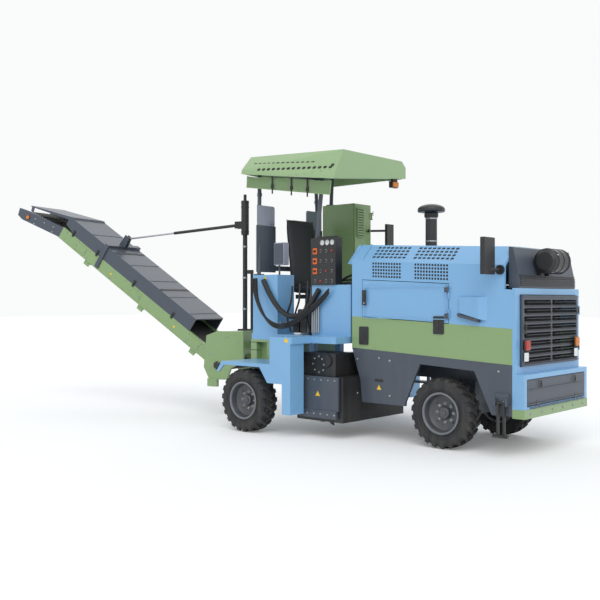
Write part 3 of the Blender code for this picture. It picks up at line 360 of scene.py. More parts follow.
@dataclass(frozen=True)
class Clear(Finish):
    """Cast acrylic or polycarbonate: tinted, partly clear, with faint wiping marks."""

    rough: float = 0.12
    clear: float = 0.5
    edge: float = 0.0
    relief: float = 0.02

    def dress(self, tree: bpy.types.NodeTree, shader: bpy.types.Node, place: bpy.types.NodeSocket) -> None:
        """Lets light through, with the refraction of acrylic."""
        shader.inputs["Transmission Weight"].default_value = self.clear
        shader.inputs["IOR"].default_value = 1.49


@dataclass(frozen=True)
class Belting(Finish):
    """Vulcanised belt cover: black rubber with pale stone dust rubbed along its run."""

    rough: float = 0.78
    grain_mm: float = 3.0
    relief: float = 0.25
    edge: float = 0.0
    tone: float = 0.25


class Paint(Enum):
    """The finishes of the machine."""

    # Satin sky blue of the big sheet panels.
    SKY = Enamel("sky blue enamel", "#7BAED8", "blue")
    # Softer green of the belt line, frame and beams.
    SAGE = Enamel("sage green enamel", "#86A26E", "green")
    # The same green, painted paler on the roof as painted light on its upward face.
    ROOF_PAINTED_LIGHT = Enamel("sage enamel painted lighter for the roof", "#94B181", "green", rough=0.42, dust=0.06)
    # Blue-grey of the skirt, cover and doors of boxes.
    SLATE = Enamel("slate grey enamel", "#454D58", "slate", rough=0.45, coat=0.1)
    # Deep black of pipes, housings and latches.
    BLACK = Enamel("black enamel", "#1D1E20", "black", rough=0.42, coat=0.1, edge=0.12)
    # Dull grey inside the dished rims.
    RIM = Enamel("wheel grey enamel", "#43474D", "rim", rough=0.4, dust=0.10)
    # Paler copy of the wheel grey on the flange ring, a painted highlight that draws the rim out of the tyre.
    RIM_HIGHLIGHT = Enamel("wheel grey with painted highlight", "#6E7379", "rim", rough=0.42, dust=0.08)
    # Clean white squares under the lamps.
    WHITE = Enamel("white enamel", "#E4E6E6", "steel", rough=0.4, edge=0.0, dust=0.08)
    # Cool grey of the junction box.
    LILAC = Enamel("dusky grey enamel", "#8C8FA0", "slate", rough=0.5)
    # Flat yellow of the small blank stickers.
    SIGNAL = Enamel("signal yellow film", "#EDC321", "green", rough=0.4, edge=0.0, dust=0.06)
    # Bright switch plates that catch the eye on the panel.
    ORANGE = Enamel("signal orange plastic", "#E2661B", "green", rough=0.35, edge=0.0)
    # Matt tyre rubber with a little grey in it.
    TREAD = TyreRubber("tread rubber", "#2B2C2F", "rubber", dust=0.10)
    # Smoother and blacker than the tyres.
    HOSE = TyreRubber("hose rubber", "#18191B", "rubber", rough=0.5, relief=0.1, dust=0.08, grain_mm=8.0)
    # Flat dark rubber of seals, also used as painted shade inside slots and openings.
    SEAL_AND_OPENING_SHADE = TyreRubber("sealing rubber and painted opening shade", "#1B1C1E", "rubber", rough=0.7, relief=0.08)
    # Bright bare rod and tips.
    STEEL = DrawnSteel("drawn steel", "#B9BCC0", "steel")
    # Dull shine of bolts, clips and pipes.
    ZINC = DrawnSteel("zinc plated steel", "#A4A7A6", "steel", rough=0.38)
    # Clear reflection in the mirrors.
    MIRROR = DrawnSteel("mirror glass", "#E6EAEE", "steel", rough=0.05, dust=0.04, relief=0.0)
    # Rough cast skin with brown spots.
    IRON = CastIron("cast iron", "#4A4948", "iron")
    # Cast iron painted darker as shade, for parts deep behind openings.
    IRON_RECESS_SHADE = CastIron("iron painted dark as recess shade", "#2A2A2B", "iron", rough=0.5, metal=0.3)
    # Black belt rubbed grey by stone.
    BELT = Belting("belt rubber", "#242527", "belt")
    # Faded green cloth with a visible weave.
    CANVAS = Weave("coated canvas", "#9DB78A", "curtain")
    # Fine black strap weave.
    WEBBING = Weave("black webbing", "#17181A", "fabric", thread_mm=4.0)
    # Dark pebbled seat cover.
    VINYL = Upholstery("seat vinyl", "#26282D", "fabric")
    # Smoky clear wind sheets.
    SHEET = Clear("tinted sheet", "#B4B8CC", "steel", clear=0.35)
    # Deep orange lens with light in it.
    AMBER = Clear("amber lens", "#F08A1D", "steel", clear=0.25, rough=0.16)
    # Deep red lens with light in it.
    RED = Clear("red lens", "#C8311E", "steel", clear=0.2, rough=0.16)
    # White gauge face under a gloss.
    DIAL = Clear("gauge glass", "#E9ECEC", "steel", clear=0.05, rough=0.1)


# ------------------------------------------------------------------ mesh maker
class Piece:
    """A joined mesh that rides on one body. Shapes are added in world or given coordinates."""

    def __init__(self, name: str, body: str, paint: Paint, matrix: Matrix | None = None) -> None:
        """Starts an empty piece.

        Args:
            name: The object's name.
            body: The body it moves with.
            paint: Its finish.
            matrix: Turns the coordinates given to the shape methods into world ones.
        """
        self.name, self.body, self.paint = name, body, paint
        self.matrix = matrix or Matrix.Identity(4)
        self.points: list[Vector] = []
        self.faces: list[tuple[int, ...]] = []

    def put(self, points: Iterable[Sequence[float]], faces: Iterable[Sequence[int]]) -> "Piece":
        """Adds a closed shape.

        Args:
            points: Its points, in the piece's coordinates.
            faces: Numbers of the points around each face.

        Returns:
            This piece.
        """
        start = len(self.points)
        self.points += [self.matrix @ Vector(p) for p in points]
        self.faces += [tuple(start + i for i in face) for face in faces]
        return self

    def box(self, low: Sequence[float], high: Sequence[float], turn: Matrix | None = None) -> "Piece":
        """Adds a box, which done() rounds.

        Args:
            low: One corner.
            high: The opposite corner.
            turn: Rotation about the box's centre.

        Returns:
            This piece.
        """
        a, b = Vector(low), Vector(high)
        mid, half = (a + b) / 2, (b - a) / 2
        corners = [Vector((half.x * i, half.y * j, half.z * k)) for i in (-1, 1) for j in (-1,
            1) for k in (-1, 1)]
        spots = [mid + ((turn @ c) if turn else c) for c in corners]
        faces = ((0, 1, 3, 2), (4, 6, 7, 5), (0, 4, 5, 1), (2, 3, 7, 6), (0, 2, 6, 4), (1, 5, 7, 3))
        return self.put(spots, faces)

    def prism(self, outline: Sequence[tuple[float, float]], low: float, high: float,
              axis: str = "y") -> "Piece":
        """Adds an outline extruded along an axis.

        Args:
            outline: Its points: (x, z) for axis y, (y, z) for x and (x, y) for z.
            low: Where it starts along the axis.
            high: Where it ends.
            axis: The axis, as a letter.

        Returns:
            This piece.
        """
        build = {
            "y": lambda u, v, w: (u, w, v), "x": lambda u, v, w: (w, u, v), "z": lambda u, v, w: (u, v, w),
        }[axis]
        n = len(outline)
        spots = [build(u, v, w) for w in (low, high) for u, v in outline]
        faces = [tuple(range(n)), tuple(range(n, 2 * n))]
        faces += [(i, (i + 1) % n, n + (i + 1) % n, n + i) for i in range(n)]
        return self.put(spots, faces)

    def turned(
        self, profile: Sequence[tuple[float, float]], centre: Sequence[float], axis: Sequence[float],
        steps: int = 32,
    ) -> "Piece":
        """Adds a turned shape.

        Args:
            profile: Pairs of radius and distance along the axis, closed at radius 0 or onto itself.
            centre: The foot of the axis.
            axis: The direction of the axis.
            steps: Sides of the round.

        Returns:
            This piece.
        """
        turn = Vector(axis).normalized().to_track_quat("Z", "Y").to_matrix()
        base = Vector(centre)
        spots: list[Vector] = []
        rings: list[list[int]] = []
        for radius, along in profile:
            if radius < 1e-6:
                rings.append([len(spots)])
                spots.append(base + turn @ Vector((0, 0, along)))
                continue
            rings.append(list(range(len(spots), len(spots) + steps)))
            for k in range(steps):
                a = math.tau * k / steps
                spots.append(base + turn @ Vector((radius * math.cos(a), radius * math.sin(a), along)))
        faces: list[tuple[int, ...]] = []
        closed = len(rings[0]) > 1
        pairs = list(zip(rings, rings[1:])) + ([(rings[-1], rings[0])] if closed else [])
        for one, two in pairs:
            for k in range(steps):
                n = (k + 1) % steps
                quad = [one[k % len(one)], one[n % len(one)], two[n % len(two)], two[k % len(two)]]
                face = tuple(dict.fromkeys(quad))
                if len(face) > 2:
                    faces.append(face)
        return self.put(spots, faces)

    def rod(self, start: Sequence[float], end: Sequence[float], radius: float, steps: int = 14) -> "Piece":
        """Adds a round bar with a small chamfer at both ends."""
        a, b = Vector(start), Vector(end)
        length, cut = (b - a).length, min(radius * 0.2, 0.003)
        profile = [(0, 0), (radius - cut, 0), (radius, cut), (radius, length - cut), (radius - cut, length),
                   (0, length)]
        return self.turned(profile, a, b - a, steps)

    def tube(self, route: Sequence[Sequence[float]], radius: float, sides: int = 10,
             close: bool = False) -> "Piece":
        """Adds a round tube along a smooth curve.

        Args:
            route: Points that the curve passes through.
            radius: Radius of the tube.
            sides: Sides of its round.
            close: Whether it runs back to its start.

        Returns:
            This piece.
        """
        path = smooth_route([Vector(p) for p in route], close)
        n = len(path)
        spots: list[Vector] = []
        normal: Vector | None = None
        for i, spot in enumerate(path):
            ahead = path[(i + 1) % n] if close or i + 1 < n else spot
            back = path[i - 1] if close or i else spot
            way = (ahead - back).normalized()
            if normal is None:
                normal = way.orthogonal().normalized()
            normal = (normal - way * normal.dot(way)).normalized()
            other = way.cross(normal)
            spots += [spot + (normal * math.cos(a) + other * math.sin(a)) * radius
                      for a in (math.tau * k / sides for k in range(sides))]
        faces = [
            (i * sides + k, i * sides + (k + 1) % sides, (i + 1) % n * sides + (k + 1) % sides,
             (i + 1) % n * sides + k)
            for i in range(n if close else n - 1) for k in range(sides)
        ]
        if not close:
            faces += [tuple(range(sides)), tuple(range((n - 1) * sides, n * sides))]
        return self.put(spots, faces)

    def bolt(self, spot: Sequence[float], out: Sequence[float], radius: float = 0.011) -> "Piece":
        """Adds a washer and a six-sided bolt head.

        Args:
            spot: Its place on a surface.
            out: The way out of the surface.
            radius: Radius over the corners of the head.

        Returns:
            This piece.
        """
        self.turned([(0, 0), (radius * 1.35, 0), (radius * 1.35, radius * 0.22), (0, radius * 0.22)], spot,
                    out, 14)
        head = Vector(spot) + Vector(out).normalized() * radius * 0.2
        return self.turned([(0, 0), (radius, 0), (radius, radius * 0.62), (radius * 0.8, radius * 0.8),
                            (0, radius * 0.8)], head, out, 6)

    def done(self, bevel: float = 0.002, angle: float = 38.0,
             replaces: Sequence[str] = ()) -> bpy.types.Object:
        """Makes the object.

        Args:
            bevel: Width of the rounded edges, or 0 for none.
            angle: Edges sharper than this many degrees stay crisp.
            replaces: Nodes of the frame that this piece stands for.

        Returns:
            The finished object.
        """
        mesh = bpy.data.meshes.new(self.name)
        mesh.from_pydata(self.points, [], self.faces)
        bm = bmesh.new()
        bm.from_mesh(mesh)
        bmesh.ops.recalc_face_normals(bm, faces=bm.faces)
        bm.to_mesh(mesh)
        bm.free()
        mesh.materials.append(self.paint.value.made())
        mesh.shade_smooth()
        mesh.set_sharp_from_angle(angle=math.radians(angle))
        made = bpy.data.objects.new(self.name, mesh)
        bpy.context.scene.collection.objects.link(made)
        if bevel:
            rounding = made.modifiers.new("rounding", "BEVEL")
            rounding.width, rounding.segments = bevel, 2
            rounding.limit_method, rounding.angle_limit = "ANGLE", math.radians(angle)
            rounding.use_clamp_overlap = True
        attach(made, self.body)
        if replaces:
            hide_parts(*replaces)
        LOG.info("%s on %s: %d faces", self.name, self.body, len(mesh.polygons))
        return made


def smooth_route(route: list[Vector], close: bool = False, parts: int = 6) -> list[Vector]:
    """Reads points from a smooth curve through the points of a route.

    Args:
        route: The points that the curve passes through.
        close: Whether the curve runs back to its start.
        parts: Points for each stretch.

    Returns:
        The points along the curve.
    """
    n = len(route)
    if n < 3:
        return route
    made: list[Vector] = []
    for i in range(n if close else n - 1):
        p1, p2 = route[i], route[(i + 1) % n]
        p0 = route[i - 1] if close or i else p1 - (p2 - p1)
        p3 = route[(i + 2) % n] if close or i + 2 < n else p2 + (p2 - p1)
        for k in range(parts):
            t = k / parts
            made.append(0.5 * (2 * p1 + (p2 - p0) * t + (2 * p0 - 5 * p1 + 4 * p2 - p3) * t * t
                               + (3 * p1 - p0 - 3 * p2 + p3) * t ** 3))
    return made if close else made + [route[-1]]


class Skin:
    """The surface of a node, for setting small pieces on it."""

    def __init__(self, *nodes: str) -> None:
        """Collects the triangles of some nodes.

        Args:
            *nodes: Names of nodes of the frame.
        """
        points: list[Vector] = []
        faces: list[tuple[int, ...]] = []
        for node in nodes:
            mesh = frame["nodes"][node].data
            start = len(points)
            points += [v.co.copy() for v in mesh.vertices]
            faces += [tuple(start + i for i in p.vertices) for p in mesh.polygons]
        self.tree = BVHTree.FromPolygons(points, faces)

    def hit(self, start: Vector, way: Vector) -> tuple[Vector | None, Vector | None]:
        """Follows a ray to the surface.

        Args:
            start: Where the ray starts.
            way: Its direction.

        Returns:
            The first place it meets and the normal there, or None for both.
        """
        spot, normal, _, _ = self.tree.ray_cast(start, way)
        return spot, normal

    def side(self, x: float, z: float, side: int) -> tuple[Vector, Vector]:
        """Finds the outer side surface.

        Args:
            x: Machine X.
            z: Height.
            side: -1 for the right and 1 for the left.

        Returns:
            The place and the outward normal.
        """
        start = at(x, 3.0 * side, z)
        spot, normal = self.hit(start, Vector((0, -side, 0)))
        if spot is None:
            return at(x, 0.684 * side, z), Vector((0, side, 0))
        return spot, normal

    def front(self, y: float, z: float) -> tuple[Vector, Vector]:
        """Finds the front surface at a machine Y and a height: its place and outward normal."""
        spot, normal = self.hit(at(3.0, y, z), Vector((-1, 0, 0)))
        return (spot, normal) if spot else (at(0.8, y, z), Vector((1, 0, 0)))


def facing(spot: Vector, out: Vector, up: Sequence[float] = (0, 0, 1)) -> Matrix:
    """Finds the matrix of a place on a surface: X along it, Y upward on it and Z outward.

    Args:
        spot: The place.
        out: The way out of the surface.
        up: The way that Y turns to.

    Returns:
        The matrix.
    """
    z = out.normalized()
    y = (Vector(up) - z * z.dot(Vector(up))).normalized()
    x = y.cross(z)
    return Matrix.Translation(spot) @ Matrix((x, y, z)).transposed().to_4x4()


def rounded(width: float, height: float, corner: float, steps: int = 4) -> list[tuple[float, float]]:
    """Draws a rectangle with round corners, centred on zero.

    Args:
        width: Its width.
        height: Its height.
        corner: Radius of the corners.
        steps: Parts of each corner's arc.

    Returns:
        The points of the outline.
    """
    made = []
    for cx, cy, start in ((1, 1, 0), (-1, 1, 90), (-1, -1, 180), (1, -1, 270)):
        for k in range(steps + 1):
            a = math.radians(start + 90 * k / steps)
            made.append((cx * (width / 2 - corner) + corner * math.cos(a),
                         cy * (height / 2 - corner) + corner * math.sin(a)))
    return made


# ------------------------------------------------------------------ sub-assemblies
@dataclass
class Wheel:
    """A wheel with a chunky lugged tyre on a deep-dished bolted rim.

    Attributes:
        corner: Which wheel it is, as in the names of its nodes.
        lugs: Tread bars on each shoulder.
        bar: Height of the bars over the groove.
        bolts: Wheel bolts.
    """

    corner: str
    lugs: int = 22
    bar: float = 0.024
    bolts: int = 8

    def build(self) -> None:
        """Makes the tyre and the rim in place of the plain ones."""
        low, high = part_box(f"tyre_{self.corner}")
        self.centre = (low + high) / 2
        self.radius = (high.z - low.z) / 2
        self.half = (high.y - low.y) / 2
        self.side = -1 if "right" in self.corner else 1
        self.body = f"wheel_{self.corner}"
        self.tyre()
        self.rim()

    def tyre(self) -> None:
        """Turns the carcass and lays the tread bars around it."""
        r, h, bead = self.radius, self.half, 0.197
        piece = Piece(f"tread_{self.corner}", self.body, Paint.TREAD)
        groove = r - self.bar
        carcass = [
            (bead, -h * 0.72), (bead + 0.012, -h * 0.86), (bead + 0.035, -h * 0.95), (r * 0.76, -h),
            (r * 0.84, -h * 0.985),
            (groove - 0.012, -h * 0.93), (groove, -h * 0.82), (groove + 0.003, 0.0), (groove, h * 0.82),
            (groove - 0.012, h * 0.93), (r * 0.84, h * 0.985), (r * 0.76, h), (bead + 0.035, h * 0.95),
            (bead + 0.012, h * 0.86), (bead, h * 0.72),
        ]
        piece.turned(carcass, self.centre, (0, 1, 0), 72)
        for side in (-1, 1):
            for radius, lift in ((0.70, 0.0035), (0.63, 0.0025)):
                ring = r * radius
                edge = h * (0.985 if radius > 0.65 else 0.965)
                foot = self.centre + Vector((0, side * (edge - 0.004), 0))
                piece.turned([(ring - 0.004, 0), (ring - 0.003, lift + 0.004), (ring + 0.003, lift + 0.004),
                              (ring + 0.004, 0)], foot, (0, side, 0), 72)
        step = math.tau / self.lugs
        for side in (-1, 1):
            for k in range(self.lugs):
                a = step * (k + (0.25 if side > 0 else 0.75))
                self.bar_at(piece, a, side, step)
        piece.done(bevel=0, angle=32, replaces=(f"tyre_{self.corner}",))

    def bar_at(self, piece: Piece, angle: float, side: int, step: float) -> None:
        """Adds one tread bar that runs from near the middle over the shoulder.

        Args:
            piece: The piece it joins.
            angle: Angle of its outer end around the axle.
            side: -1 or 1 along the axle.
            step: Angle between two bars.
        """
        r, h = self.radius, self.half
        stations = (  # share of the half width, outer radius, inner radius, half thickness, lead
            (-0.10, r - 0.0006, r - self.bar - 0.004, 0.20, 0.62),
            (0.30, r - 0.0004, r - self.bar - 0.004, 0.215, 0.36),
            (0.62, r - 0.001, r - self.bar - 0.006, 0.24, 0.10),
            (0.86, r - 0.006, r - self.bar - 0.014, 0.27, 0.0),
            (0.985, r - 0.026, r - self.bar - 0.030, 0.28, 0.0),
            (0.997, r * 0.84, r * 0.83, 0.25, 0.0),
        )
        spots, faces = [], []
        for share, outer, inner, thick, lead in stations:
            for radius, sign in ((outer, -0.86), (outer, 0.86), (inner, 1.0), (inner, -1.0)):
                a = angle + step * (lead + sign * thick)
                spots.append(self.centre + Vector((radius * math.sin(a), side * share * h,
                                                   radius * math.cos(a))))
        n = len(stations)
        for i in range(n - 1):
            for k in range(4):
                m = (k + 1) % 4
                faces.append((4 * i + k, 4 * i + m, 4 * i + 4 + m, 4 * i + 4 + k))
        faces += [(0, 1, 2, 3), tuple(4 * (n - 1) + k for k in range(4))]
        piece.put(spots, faces)

    def rim(self) -> None:
        """Turns the dished rim and its flange, and adds hub, bolts, holes and valve."""
        h, out = self.half, Vector((0, self.side, 0))
        bowl = Piece(f"rim_dish_{self.corner}", self.body, Paint.RIM)
        disc = h * 0.12
        profile = [
            (0.0, disc - 0.008), (0.135, disc - 0.008), (0.172, disc + 0.016), (0.181, h * 0.60),
            (0.186, h * 0.80),
            (0.197, h * 0.80), (0.197, -h * 0.80), (0.184, -h * 0.80), (0.180, -h * 0.2),
            (0.150, disc - 0.030),
            (0.0, disc - 0.030),
        ]
        bowl.turned(profile, self.centre, out, 64)
        hub = self.centre + out * (disc - 0.008)
        bowl.turned([(0, 0), (0.062, 0), (0.060, 0.028), (0.052, 0.036), (0, 0.038)], hub, out, 32)
        bowl.turned([(0, 0), (0.030, 0), (0.028, 0.008), (0, 0.010)], hub + out * 0.037, out, 24)
        bowl.done(bevel=0.0015, replaces=(f"rim_{self.corner}",))
        # The flange ring takes the paler wheel grey, a painted highlight along the rim's lip.
        edge = Piece(f"rim_highlight_{self.corner}", self.body, Paint.RIM_HIGHLIGHT)
        for sign in (1, -1):
            foot = self.centre + out * sign * h * 0.66
            edge.turned([(0.186, 0.010), (0.187, 0.026), (0.192, 0.0325), (0.203, 0.0335), (0.209, 0.030),
                         (0.210, 0.0255),
                         (0.202, 0.022), (0.197, 0.010)], foot, out * sign, 64)
        edge.done(bevel=0)
        nuts = Piece(f"wheel_nuts_{self.corner}", self.body, Paint.ZINC)
        # Thin dark discs painted on the rim stand for the shade inside its holes.
        holes = Piece(f"rim_slots_{self.corner}", self.body, Paint.SEAL_AND_OPENING_SHADE)
        for k in range(self.bolts):
            a = math.tau * k / self.bolts
            way = Vector((math.cos(a), 0, math.sin(a)))
            nuts.bolt(hub + way * 0.094, out, 0.0125)
            nuts.turned([(0, 0), (0.0062, 0), (0.0062, 0.014), (0, 0.015)], hub + way * 0.094 + out * 0.008,
                        out, 12)
        for k in range(4):
            a = math.tau * (k + 0.5) / 4
            way = Vector((math.cos(a), 0, math.sin(a)))
            holes.turned([(0, 0), (0.0095, 0), (0.0095, 0.0015), (0.0, 0.0015)], hub + way * 0.128, out, 20)
        spot = self.centre + out * (h * 0.45) + Vector((0.17, 0, 0))
        nuts.rod(spot, spot + out * 0.03 - Vector((0.012, 0, 0)), 0.004)
        nuts.done(bevel=0)
        holes.done(bevel=0)


@dataclass
class EngineBody:
    """Bonnet, belt line, skirt and doors of the engine end.

    Attributes:
        slot_height: Height of a punched slot in the sloped face.
        slot_pitch: Height from one slot to the next.
        hole: Side of a square hole in the grids.
        hole_pitch: Distance from one hole to the next.
    """

    slot_height: float = 0.022
    slot_pitch: float = 0.034
    hole: float = 0.021
    hole_pitch: float = 0.0335
    skin: Skin = field(default_factory=lambda: Skin("hood", "green_band", "skirt", "nose_frame",
                                                    "bumper_strip"))

    def build(self) -> None:
        """Adds everything that sits on the engine end."""
        self.louvres()
        self.grids()
        for side, name in ((-1, "right"), (1, "left")):
            self.door_trim(side, f"engine_door_{name}")
            self.band_trim(side)
        self.bulge()
        self.stack()
        self.hood_top()

    def on(self, x: float, z: float, side: int) -> Matrix:
        """Finds a place on the side surface.

        Args:
            x: Machine X.
            z: Height.
            side: -1 for the right and 1 for the left.

        Returns:
            The matrix that puts a piece there, facing outward.
        """
        spot, normal = self.skin.side(x, z, side)
        return facing(spot, normal)

    def louvres(self) -> None:
        """Two panels of punched slots, in columns that run up each sloped face of the bonnet."""
        for side, name in ((-1, "right"), (1, "left")):
            # Dark patches painted on the panel stand for the shade inside the punched slots.
            dark = Piece(f"louvre_slots_{name}", "chassis", Paint.SEAL_AND_OPENING_SHADE)
            lips = Piece(f"louvre_lips_{name}", "chassis", Paint.SKY)
            for start, end, count in ((-0.86, -0.43, 8), (-0.345, 0.14, 9)):
                pitch = (end - start) / count
                for k in range(count):
                    x = start + pitch * (k + 0.5)
                    for row in range(4):
                        z = 1.873 + self.slot_pitch * row - 0.0505 * x
                        dark.matrix = self.on(x, z, side)
                        dark.prism(rounded(pitch * 0.66, self.slot_height, 0.004), -0.0006, 0.0010, "z")
                        lips.matrix = dark.matrix @ Matrix.Translation((0, self.slot_height * 0.56, 0))
                        lips.prism([(0, 0.0), (0.006, 0.0), (0.003, 0.004)], -pitch * 0.33, pitch * 0.33, "x")
            dark.done(bevel=0)
            lips.done(bevel=0)

    def grids(self) -> None:
        """Grids of square holes under the slots, on the upright side."""
        for side, name in ((-1, "right"), (1, "left")):
            # Dark squares painted on the panel stand for the shade inside the holes.
            dark = Piece(f"grid_holes_{name}", "chassis", Paint.SEAL_AND_OPENING_SHADE)
            for start, end in ((-0.825, -0.446), (-0.30, 0.118)):
                count = round((end - start) / self.hole_pitch)
                for row in range(5):
                    for k in range(count):
                        x = start + self.hole_pitch * (k + 0.5)
                        dark.matrix = self.on(x, 1.672 + self.hole_pitch * row - 0.0505 * x, side)
                        dark.prism(rounded(self.hole, self.hole, 0.003, 1), -0.0006, 0.0010, "z")
            dark.done(bevel=0)

    def door_trim(self, side: int, body: str) -> None:
        """Handle, latches, hinges and seal line of a side door, all riding on it.

        Args:
            side: -1 for the right door and 1 for the left.
            body: The door's body and node.
        """
        low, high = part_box(body)
        face = high.y if side > 0 else low.y
        out = Vector((0, side, 0))
        name = "right" if side < 0 else "left"
        rib = Piece(f"door_rib_{name}", body, Paint.SKY)
        x0, x1, z0, z1 = low.x + 0.03, high.x - 0.03, low.z + 0.035, high.z - 0.075
        line, lift = 0.0075, 0.0022
        y0, y1 = sorted((face - side * 0.002, face + side * lift))
        rib.box((x0, y0, z0), (x1, y1, z0 + line)).box((x0, y0, z1), (x1, y1, z1 + line))
        rib.box((x0, y0, z0), (x0 + line, y1, z1)).box((x1 - line, y0, z0), (x1, y1, z1 + line))
        rib.done(bevel=0.001)
        latch = Piece(f"door_latch_{name}", body, Paint.BLACK)
        spot = Vector((at(-0.910, 0, 0).x, face, at(0, 0, 1.49).z))
        place = facing(spot, out)
        latch.matrix = place
        latch.prism(rounded(0.054, 0.160, 0.008), -0.001, 0.007, "z")
        latch.prism(rounded(0.030, 0.060, 0.006), 0.006, 0.013, "z")
        latch.done()
        lock = Piece(f"door_lock_{name}", body, Paint.ZINC, place)
        lock.turned([(0, 0), (0.009, 0), (0.009, 0.003), (0, 0.003)], (0, -0.058, 0.006), (0, 0, 1), 20)
        lock.done(bevel=0)
        pin = Piece(f"door_hinges_{name}", body, Paint.SLATE)
        for z in (low.z + 0.07, high.z - 0.11):
            edge = high.x - 0.010
            pin.rod((edge, face + side * 0.004, z - 0.03), (edge, face + side * 0.004, z + 0.03), 0.007)
            pin.box((edge - 0.040, min(face, face + side * 0.004), z - 0.024),
                    (edge, max(face, face + side * 0.004), z + 0.024))
            for dz in (-0.013, 0.013):
                pin.bolt((edge - 0.028, face + side * 0.004, z + dz), out, 0.005)
        pin.done(bevel=0.001)

    def band_trim(self, side: int) -> None:
        """Latches, bolts and stickers of the belt line and the skirt."""
        name = "right" if side < 0 else "left"
        black = Piece(f"band_latches_{name}", "chassis", Paint.BLACK)
        for x, z, width, height in ((-0.930, 1.090, 0.118, 0.190), (-0.010, 1.218, 0.118, 0.176)):
            black.matrix = self.on(x, min(z, 1.19), side) @ Matrix.Translation((0, max(z - 1.19, 0.0), 0))
            black.prism(rounded(width, height, 0.010), -0.001, 0.012, "z")
            black.prism(rounded(width * 0.62, height * 0.74, 0.008), 0.011, 0.016, "z")
            black.prism(rounded(width * 0.20, height * 0.50, 0.006), 0.015, 0.022, "z")
        black.matrix = self.on(-0.735, 0.63, side)
        black.prism(rounded(0.110, 0.030, 0.010), -0.001, 0.002, "z")
        black.done()
        zinc = Piece(f"skirt_bolts_{name}", "chassis", Paint.ZINC)
        for x, z in ((-1.02, 0.84), (-1.02, 0.48), (-0.60, 0.84), (-0.60, 0.48), (-0.735, 0.862),
                     (0.64, 0.80), (0.70, 0.52)):
            spot, normal = self.skin.side(x, z, side)
            zinc.bolt(spot, normal, 0.009)
        zinc.done(bevel=0)
        mark = Piece(f"skirt_mark_{name}", "chassis", Paint.SIGNAL, self.on(-0.735, 0.56, side))
        mark.prism([(-0.030, -0.026), (0.030, -0.026), (0.0, 0.026)], -0.0003, 0.0009, "z")
        mark.done(bevel=0)

    def bulge(self) -> None:
        """The folded box that stands out of the front panel on each side, with a dark slate strip under it as
        painted shade for its mouth.
        """
        for side, name in ((-1, "right"), (1, "left")):
            place = self.on(0.37, 1.385, side)
            flip = Matrix.Diagonal((1 if side < 0 else -1, 1, 1, 1))
            body = Piece(f"intake_box_{name}", "chassis", Paint.SKY, place @ flip)
            body.put(
                [(-0.14, 0.115, -0.002), (0.155, 0.115, -0.002), (0.155, -0.120, -0.002),
                 (-0.14, -0.055, -0.002),
                 (-0.135, 0.105, 0.030), (0.085, 0.105, 0.052), (0.085, -0.100, 0.052),
                 (-0.135, -0.045, 0.030)],
                BLOCK_FACES)
            body.done(bevel=0.004)
            # The slate strip under the box is painted shade, standing for its shaded mouth.
            dark = Piece(f"intake_mouth_shade_{name}", "chassis", Paint.SLATE, place @ flip)
            dark.put(
                [(-0.165, -0.048, -0.001), (0.080, -0.098, -0.001), (0.080, -0.135, -0.001),
                 (-0.155, -0.085, -0.001),
                 (-0.160, -0.052, 0.032), (0.078, -0.100, 0.054), (0.078, -0.130, 0.054),
                 (-0.150, -0.080, 0.032)],
                BLOCK_FACES)
            dark.done(bevel=0.002)

    def stack(self) -> None:
        """Upright intake pipe with its domed rain cap, clamps and inlet slots."""
        low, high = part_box("intake_stack")
        mid = (low + high) / 2
        cap, pipe, rim = (high.x - low.x) / 2, 0.062, high.z - 0.098
        foot = (mid.x, mid.y, 0.0)
        dome = [(cap * math.cos(a), rim + 0.038 + (high.z - rim - 0.038) * math.sin(a))
                for a in (math.radians(6 * k) for k in range(15))]
        black = Piece("stack_pipe_and_cap", "chassis", Paint.BLACK)
        black.turned([(0, low.z), (pipe, low.z), (pipe, rim - 0.050), (pipe + 0.012, rim - 0.046),
                      (pipe + 0.012, rim - 0.004), (pipe + 0.004, rim), (cap - 0.030, rim + 0.006),
                      (cap - 0.008, rim + 0.010), (cap, rim + 0.020), *dome, (0, high.z)], foot, (0, 0, 1),
                      56)
        black.turned([(0, 0), (0.018, 0), (0.016, 0.004), (0, 0.005)], (mid.x, mid.y, high.z - 0.006),
                     (0, 0, 1), 20)
        black.done(bevel=0, replaces=("intake_stack",))
        # Dark patches painted round the pipe stand for the shade inside the inlet slots.
        dark = Piece("stack_inlets", "chassis", Paint.SEAL_AND_OPENING_SHADE)
        for k in range(18):
            a = math.tau * k / 18
            way = Vector((math.cos(a), math.sin(a), 0))
            dark.matrix = facing(Vector((mid.x, mid.y, rim - 0.025)) + way * (pipe + 0.012), way)
            dark.prism(rounded(0.013, 0.026, 0.004), -0.001, 0.0008, "z")
        dark.done(bevel=0)
        zinc = Piece("stack_clamps", "chassis", Paint.ZINC)
        for z in (at(0, 0, 2.10).z, rim - 0.060):
            zinc.turned([(pipe - 0.003, -0.007), (pipe + 0.002, -0.007), (pipe + 0.002, 0.007),
                         (pipe - 0.003, 0.007)],
                        (mid.x, mid.y, z), (0, 0, 1), 40)
            zinc.rod((mid.x - 0.020, mid.y - pipe - 0.006, z), (mid.x + 0.022, mid.y - pipe - 0.006, z),
                     0.003, 8)
        zinc.done(bevel=0)

